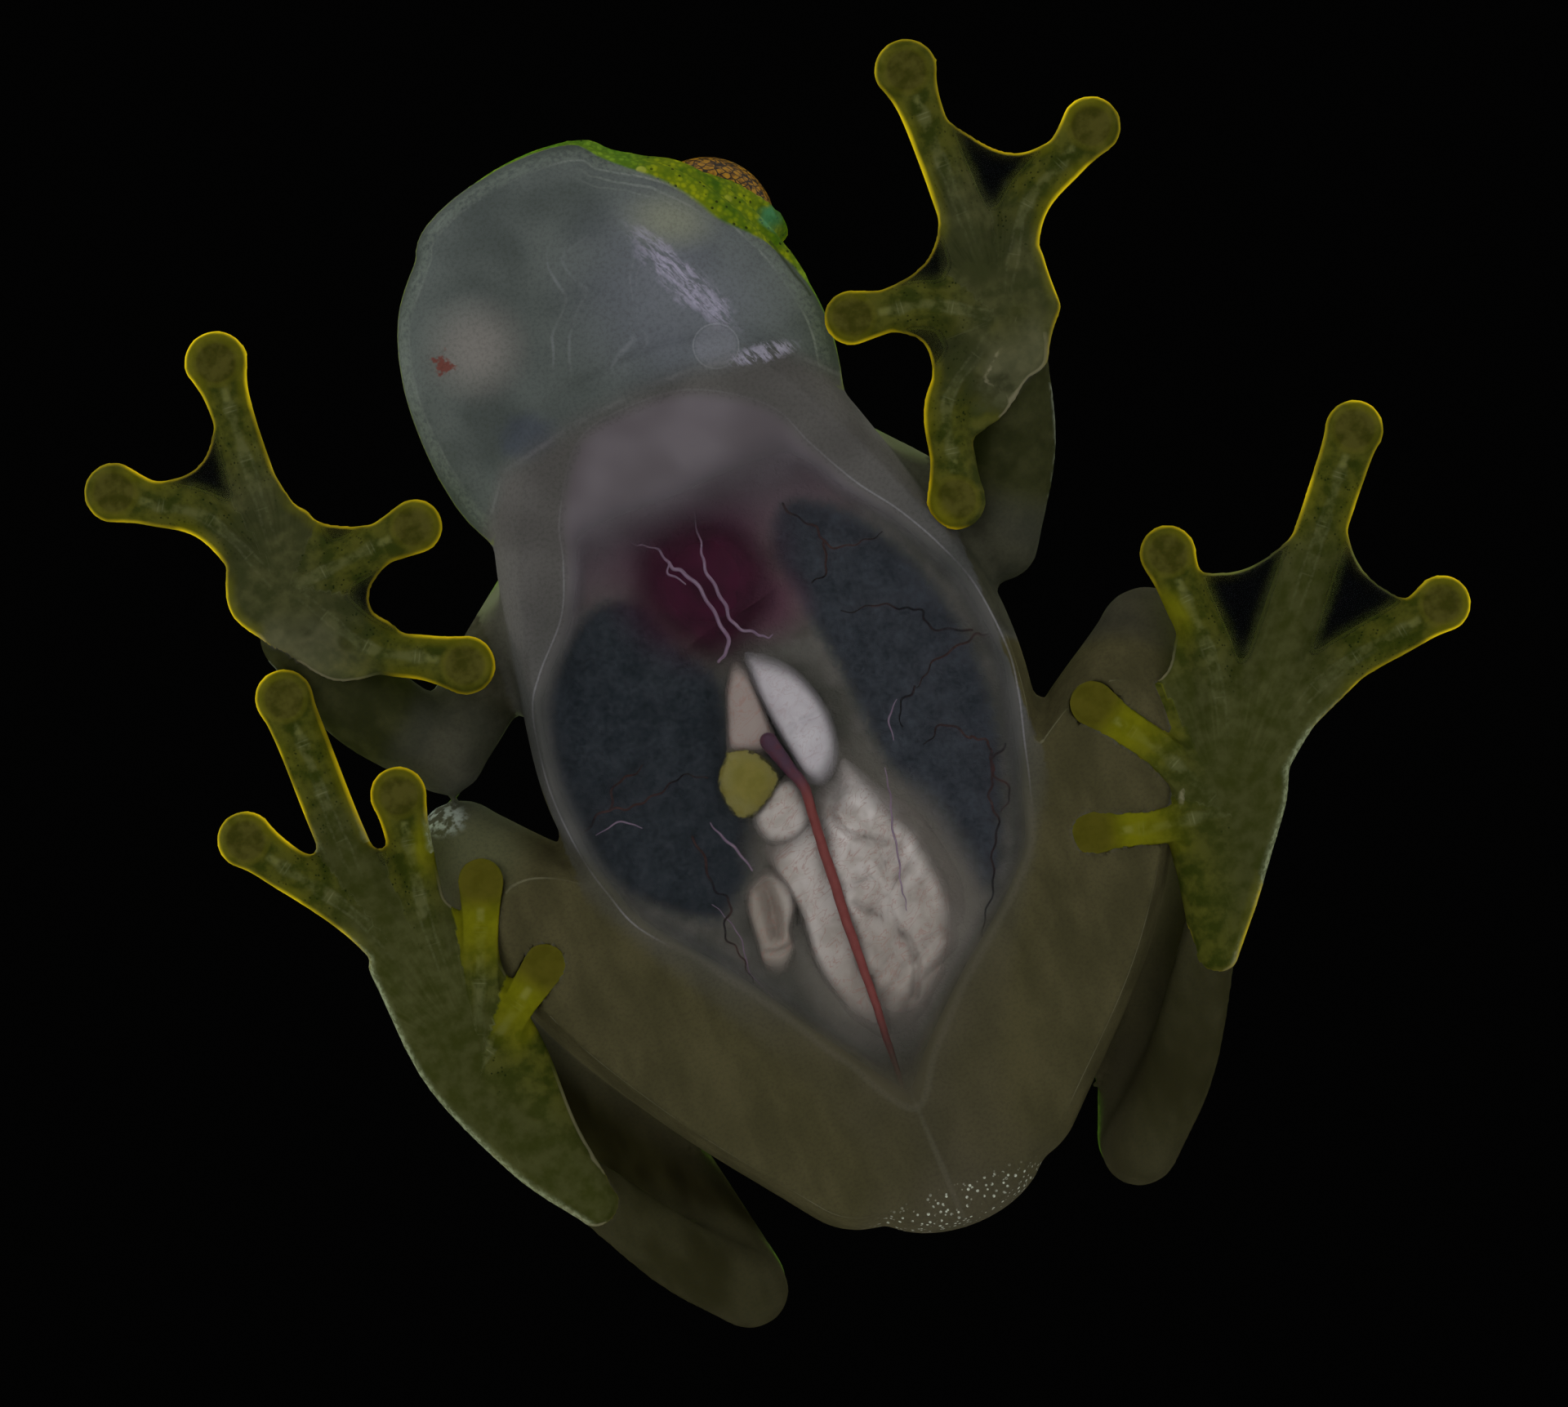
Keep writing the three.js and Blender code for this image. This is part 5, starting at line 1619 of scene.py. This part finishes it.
def china(name, pale, dull, crease, relief_depth=0.03):
    """White peritoneum: pale swells with painted shade where they meet, pinkish threads in the creases and a
    fine wrinkle. It is whole in the middle and fades into the tissue round its outline, from farther in on
    the left side of the gut, where the tissue over it is thicker."""
    f = Finish(name, WET)
    slow = f.cloud(1.1, 3)
    wrinkle = f.cloud(3.2, 3, 0.6, stretch=(1.8, 0.8, 1), turn=-0.5, warp=0.9)
    x, y = f.axis("X"), f.axis("Y")
    away = (y.ease(1.8, 6.6) * 0.85).most(x.ease(1.7, 2.7) * 0.95)
    away = away.most(x.under(-1.2, -0.2) * y.ease(1.0, 3.0)).most(x.under(0.2, 1.0) * 0.35)
    colour = f.blend(away, pale, dull)
    colour = f.blend(slow.ease(0.35, 0.7) * 0.5, colour, dull)
    # Painted shade: darker lines where the swells meet, as in the folds between them.
    painted_fold_shade = f.cells(2.4, "DISTANCE_TO_EDGE").under(0.02, 0.2) * slow.ease(0.4, 0.6)
    colour = f.blend(painted_fold_shade * 0.3, colour, dull)
    colour = f.blend(wrinkle.stripe(0.5, 0.004, 0.02) * 0.5, colour, crease)
    whole = 1 - (f.read("outward") + x.ease(1.6, 3.0) * 0.25).ease(0.62, 0.98) * 0.85
    f.set(colour=colour, normal=f.bump(wrinkle, relief_depth), alpha=whole)
    return f.material


def gall_green():
    """Bile behind a thin wall: mottled green, paler in the middle, with a frayed edge."""
    f = Finish("gall_green", WET)
    middle = f.spot(-0.68, 0.72, 0.62, 0.75).ease(0.35, 1.0)
    mottle = f.cloud(3.5, 3)
    green = f.blend(mottle.ease(0.35, 0.65), shade(136, 128, 62), shade(120, 114, 46))
    green = f.blend(middle * mottle.ease(0.3, 0.6) * 0.6, green, shade(158, 152, 100))
    fringe = f.read("outward") + (f.cloud(5, 3) - 0.5) * 0.35
    f.set(colour=green, normal=f.bump(mottle, 0.04), alpha=fringe.under(0.82, 1.02))
    return f.material


def heart_red():
    """Wine red that fades out all round, as behind clouded skin."""
    f = Finish("heart_red", WET)
    beat = f.cloud(1.6, 3)
    wine = f.blend(beat.ease(0.3, 0.7), shade(48, 10, 32), shade(68, 18, 46))
    soft = f.spot(-0.1, -3.65, 1.75, 1.85, 0, f.wobble(1.2, 0.5)).under(0.35, 1.0)
    f.set(colour=wine, alpha=soft)
    return f.material


def vein_red():
    """Dull violet by the liver, red along the gut, browner towards the vent."""
    f = Finish("vein_red", WET)
    along = f.axis("Y")
    blood = f.blend(along.ease(0.7, 1.7), shade(82, 58, 76), shade(134, 72, 70))
    blood = f.blend(along.ease(5.8, 7.8), blood, shade(96, 54, 50))
    blood = f.blend(f.cloud(5, 2).ease(0.4, 0.7) * 0.3, blood, shade(116, 52, 52))
    f.set(colour=blood)
    return f.material


def vessel_white():
    """Thin and pale, and thinner still towards the throat."""
    f = Finish("vessel_white", WET)
    pale = f.blend(f.cloud(4, 2), shade(136, 108, 140), shade(180, 160, 184))
    start = f.axis("Y").ease(-5.2, -4.0)
    f.set(colour=pale, alpha=0.1 + start * 0.5)
    return f.material


def vessel_brown():
    """Half clear, from nearly black to brown."""
    f = Finish("vessel_brown", WET)
    brown = f.blend(f.cloud(0.8, 2).ease(0.4, 0.6), shade(34, 28, 36), shade(82, 52, 48))
    f.set(colour=brown, alpha=0.6)
    return f.material


def cavity_dark():
    """Two dark, finely mottled lobes with a paler border, tinted round the heart, with a painted glow round
    the gut.
    """
    f = Finish("cavity_dark", {"Specular IOR Level": 0.0, "Roughness": 0.8})
    cloudy, streaks = f.cloud(0.9, 3), f.cloud(7, 4, 0.75, stretch=(1, 1, 1e5), warp=0.5)
    lobe = (f.read("lobe") + (streaks - 0.5) * 0.6).ease(0.2, 0.8)
    white = f.read("white")
    border = f.blend(cloudy.ease(0.35, 0.65), below(56, 56, 52), below(72, 71, 68))
    chestward = f.axis("Y").under(-5.0, -3.2)
    border = f.blend(chestward, border, below(72, 62, 68))
    mottled = f.cloud(2.2, 3).ease(0.3, 0.7) * 0.45 + streaks.ease(0.3, 0.7) * 0.55
    dark = f.blend(mottled, below(13, 18, 23), below(38, 43, 49))
    paler = f.blend(mottled, below(22, 26, 31), below(46, 50, 57))
    dark = f.blend(f.axis("X").ease(0.5, 2.5), dark, paler)
    colour = f.blend(lobe * 0.95, border, dark)
    # A pale haze round the gut: painted glow from the white organs, which also fills the shade between them.
    colour = f.blend(white * 0.75, colour, below(86, 83, 78))
    blush = f.spot(0.9, -2.8, 1.3, 1.0, 0.6).under(0.3, 1.1)
    colour = f.blend(blush * 0.7, colour, below(72, 46, 60))
    glow = f.spot(-0.05, -4.0, 2.5, 2.7).under(0.15, 1.0)
    colour = f.blend(glow * 0.9, colour, below(54, 20, 42))
    f.set(colour=colour, normal=f.bump(mottled, 0.03))
    return f.material


organ_finishes = dict(
    liver=china("liver_white", shade(216, 213, 221), shade(196, 190, 200), shade(186, 168, 176), 0.008),
    gut=china("gut_white", shade(230, 224, 224), shade(160, 151, 143), shade(170, 128, 120)),
    liver_left_lobe=china("lobe_pink", shade(172, 160, 156), shade(160, 146, 142), shade(166, 126, 118),
                          0.01),
    gall_bladder=gall_green(), heart=heart_red(), vein=vein_red(), white_vessels=vessel_white(),
    brown_vessels=vessel_brown(), cavity_wall=cavity_dark())
organ_finishes["gut_coil"] = organ_finishes["gut"]
for name, piece in organs.items():
    piece.data.materials.append(organ_finishes[name])
print("organ finishes:", sorted({piece.data.materials[0].name for piece in organs.values()}))

# %% [markdown]
# Each eye has a gold iris, netted with black, round a pupil that lies across it. A thin clear coat over
# both makes it look wet.

# %% Finish of the eyes


def eye_gold():
    """The pupil is an oval across the eye, with a pale ring round it and a net of black on gold beyond."""
    f = Finish("eye_gold", {"Roughness": 0.4, "Specular IOR Level": 0.1, "Coat Weight": 0.12,
                            "Coat Roughness": 0.05})
    x, y = f.read("eye_x"), f.read("eye_y")
    oval = ((x / 0.46) ** 2 + (y / 0.3) ** 2) ** 0.5
    net = f.cells(6, "DISTANCE_TO_EDGE")
    threads = f.cloud(7, 3)
    gold = f.blend(threads.ease(0.35, 0.65), shade(98, 64, 2), shade(172, 124, 10))
    gold = f.blend(net.under(0.04, 0.13) * 0.95, gold, shade(12, 9, 4))
    gold = f.blend(oval.under(1.1, 1.45) * 0.7, gold, shade(226, 206, 118))
    gold = f.blend(oval.under(0.96, 1.02), gold, (0.004, 0.004, 0.004))
    f.set(colour=gold)
    return f.material


iris = eye_gold()
for piece in eyes.values():
    piece.data.materials.append(iris)
print("eye finishes are on", len(eyes), "pieces")

# %% [markdown]
# The photograph was taken from under a pane of glass, against the dark. Here the frog sits on a large
# clear pane, and the plain pale floor is a quarter of a metre below it. The camera stands between the
# two and looks up, so what is behind the frog is the dark upper part of the surroundings, while the
# floor sends the studio light back up to its belly. The pane is clear straight on and turns pale and
# glossy towards grazing views, so that from the side the frog is seen to stand on something.

# %% Stage
FLOOR_DEPTH = 250  # below the pane, in mm
PANE_GAP = 0.03  # keeps the pane clear of the frog's flat underside, in mm


def plane(name, half, height):
    points = np.array([[-half, -half, height], [half, -half, height], [half, half, height],
                       [-half, half, height]])
    return put(name, points, [[0, 1, 2, 3]], smooth=False)


floor = plane("floor", 3000, -FLOOR_DEPTH)
floor_finish = Finish("floor_pale", {"Roughness": 0.8})
floor_finish.set(colour=floor_finish.blend(floor_finish.cloud(0.004, 2), shade(214, 212, 208),
                                           shade(222, 221, 218)))
floor.data.materials.append(floor_finish.material)

pane = plane("pane", 2800, -PANE_GAP)
glass = Finish("pane_glass", {"Roughness": 0.9, "Specular IOR Level": 0.0})
glass.set(colour=shade(214, 212, 208))
facing = Value(glass, glass.node("LayerWeight", None, {"Blend": 0.5}).outputs["Facing"])
clear = glass.node("BsdfTransparent").outputs[0]
gloss = glass.node("BsdfGlossy", None, {"Color": (1, 1, 1), "Roughness": 0.06}).outputs[0]
haze = glass.node("MixShader", None, {0: (facing ** 3) * 0.9, 1: clear, 2: glass.shader.outputs[0]})
sheen = glass.node("MixShader", None, {0: (facing ** 5) * 0.5, 1: haze.outputs[0], 2: gloss})
glass.join(sheen.outputs[0], glass.tree.nodes["Material Output"].inputs["Surface"])
pane.data.materials.append(glass.material)

# %% Light


def area_light(name, place, size, watts):
    """A round lamp that faces the frog."""
    data = bpy.data.lights.new(name, "AREA")
    data.shape = "DISK"
    data.size = size
    data.energy = watts
    lamp = bpy.data.objects.new(name, data)
    lamp.location = place
    lamp.rotation_euler = (-Vector(place)).to_track_quat("-Z", "Y").to_euler()
    lamp.visible_camera = False
    bpy.context.scene.collection.objects.link(lamp)
    return lamp


overhead = area_light("overhead", (0.15, -0.1, 0.7), 0.6, 7.0)
overhead.visible_glossy = False
area_light("window_side", (-0.7, -0.5, 0.35), 0.4, 2.5)

world = bpy.data.worlds.new("surroundings")
bpy.context.scene.world = world
world.use_nodes = True
sky = world.node_tree
way = sky.nodes.new("ShaderNodeTexCoord")
parts = sky.nodes.new("ShaderNodeSeparateXYZ")
sky.links.new(way.outputs["Generated"], parts.inputs[0])
climb = sky.nodes.new("ShaderNodeMapRange")
climb.interpolation_type = "SMOOTHSTEP"
for socket, value in {"From Min": 0.45, "From Max": 0.9, "To Min": 0.55, "To Max": 0.0008}.items():
    climb.inputs[socket].default_value = value
sky.links.new(parts.outputs["Z"], climb.inputs["Value"])
background = sky.nodes["Background"]
background.inputs["Color"].default_value = (1.0, 0.99, 0.97, 1.0)
sky.links.new(climb.outputs[0], background.inputs["Strength"])
bpy.context.scene.view_settings.view_transform = "Standard"
for kind, bounces in dict(max=5, diffuse=2, glossy=2, transmission=2, transparent_max=10).items():
    setattr(bpy.context.scene.cycles, f"{kind}_bounces", bounces)
print("floor below the pane, in mm:", FLOOR_DEPTH)

# %% [markdown]
# The camera is straight below, turned so that the frog lies across the frame as it does in the
# photograph. Its lens is worked out from the frame's width at the pane.

# %% Camera
TURN = np.radians(21.04)  # how far the frog lies turned in the photograph
FRAME_WIDTH = 33.74 * MM  # what the photograph's width covers at the pane
DISTANCE = 0.2  # from the camera to the pane, in metres
SENSOR = 36
lens = bpy.data.cameras.new("camera")
camera = bpy.data.objects.new("camera", lens)
bpy.context.scene.collection.objects.link(camera)
bpy.context.scene.camera = camera
right = (np.cos(TURN), np.sin(TURN), 0)
top = (np.sin(TURN), -np.cos(TURN), 0)
aim = (0.603 * MM, -0.587 * MM, -DISTANCE)
camera.matrix_world = Matrix([[right[k], top[k], (0, 0, -1)[k], aim[k]] for k in range(3)] + [[0, 0, 0, 1]])
lens.sensor_fit = "HORIZONTAL"
lens.sensor_width = SENSOR
lens.lens = SENSOR / FRAME_WIDTH * DISTANCE
lens.clip_start = 0.01
lens.clip_end = 20
print("lens in mm:", round(lens.lens, 1))

# %% Tie every piece to the model
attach(body, "root")
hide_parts(*[name for name in frame["nodes"] if not name.startswith("eye")])
for piece in organs.values():
    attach(piece, "root")
for side, piece in eyes.items():
    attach(piece, "root")
    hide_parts(f"eye_{side}")
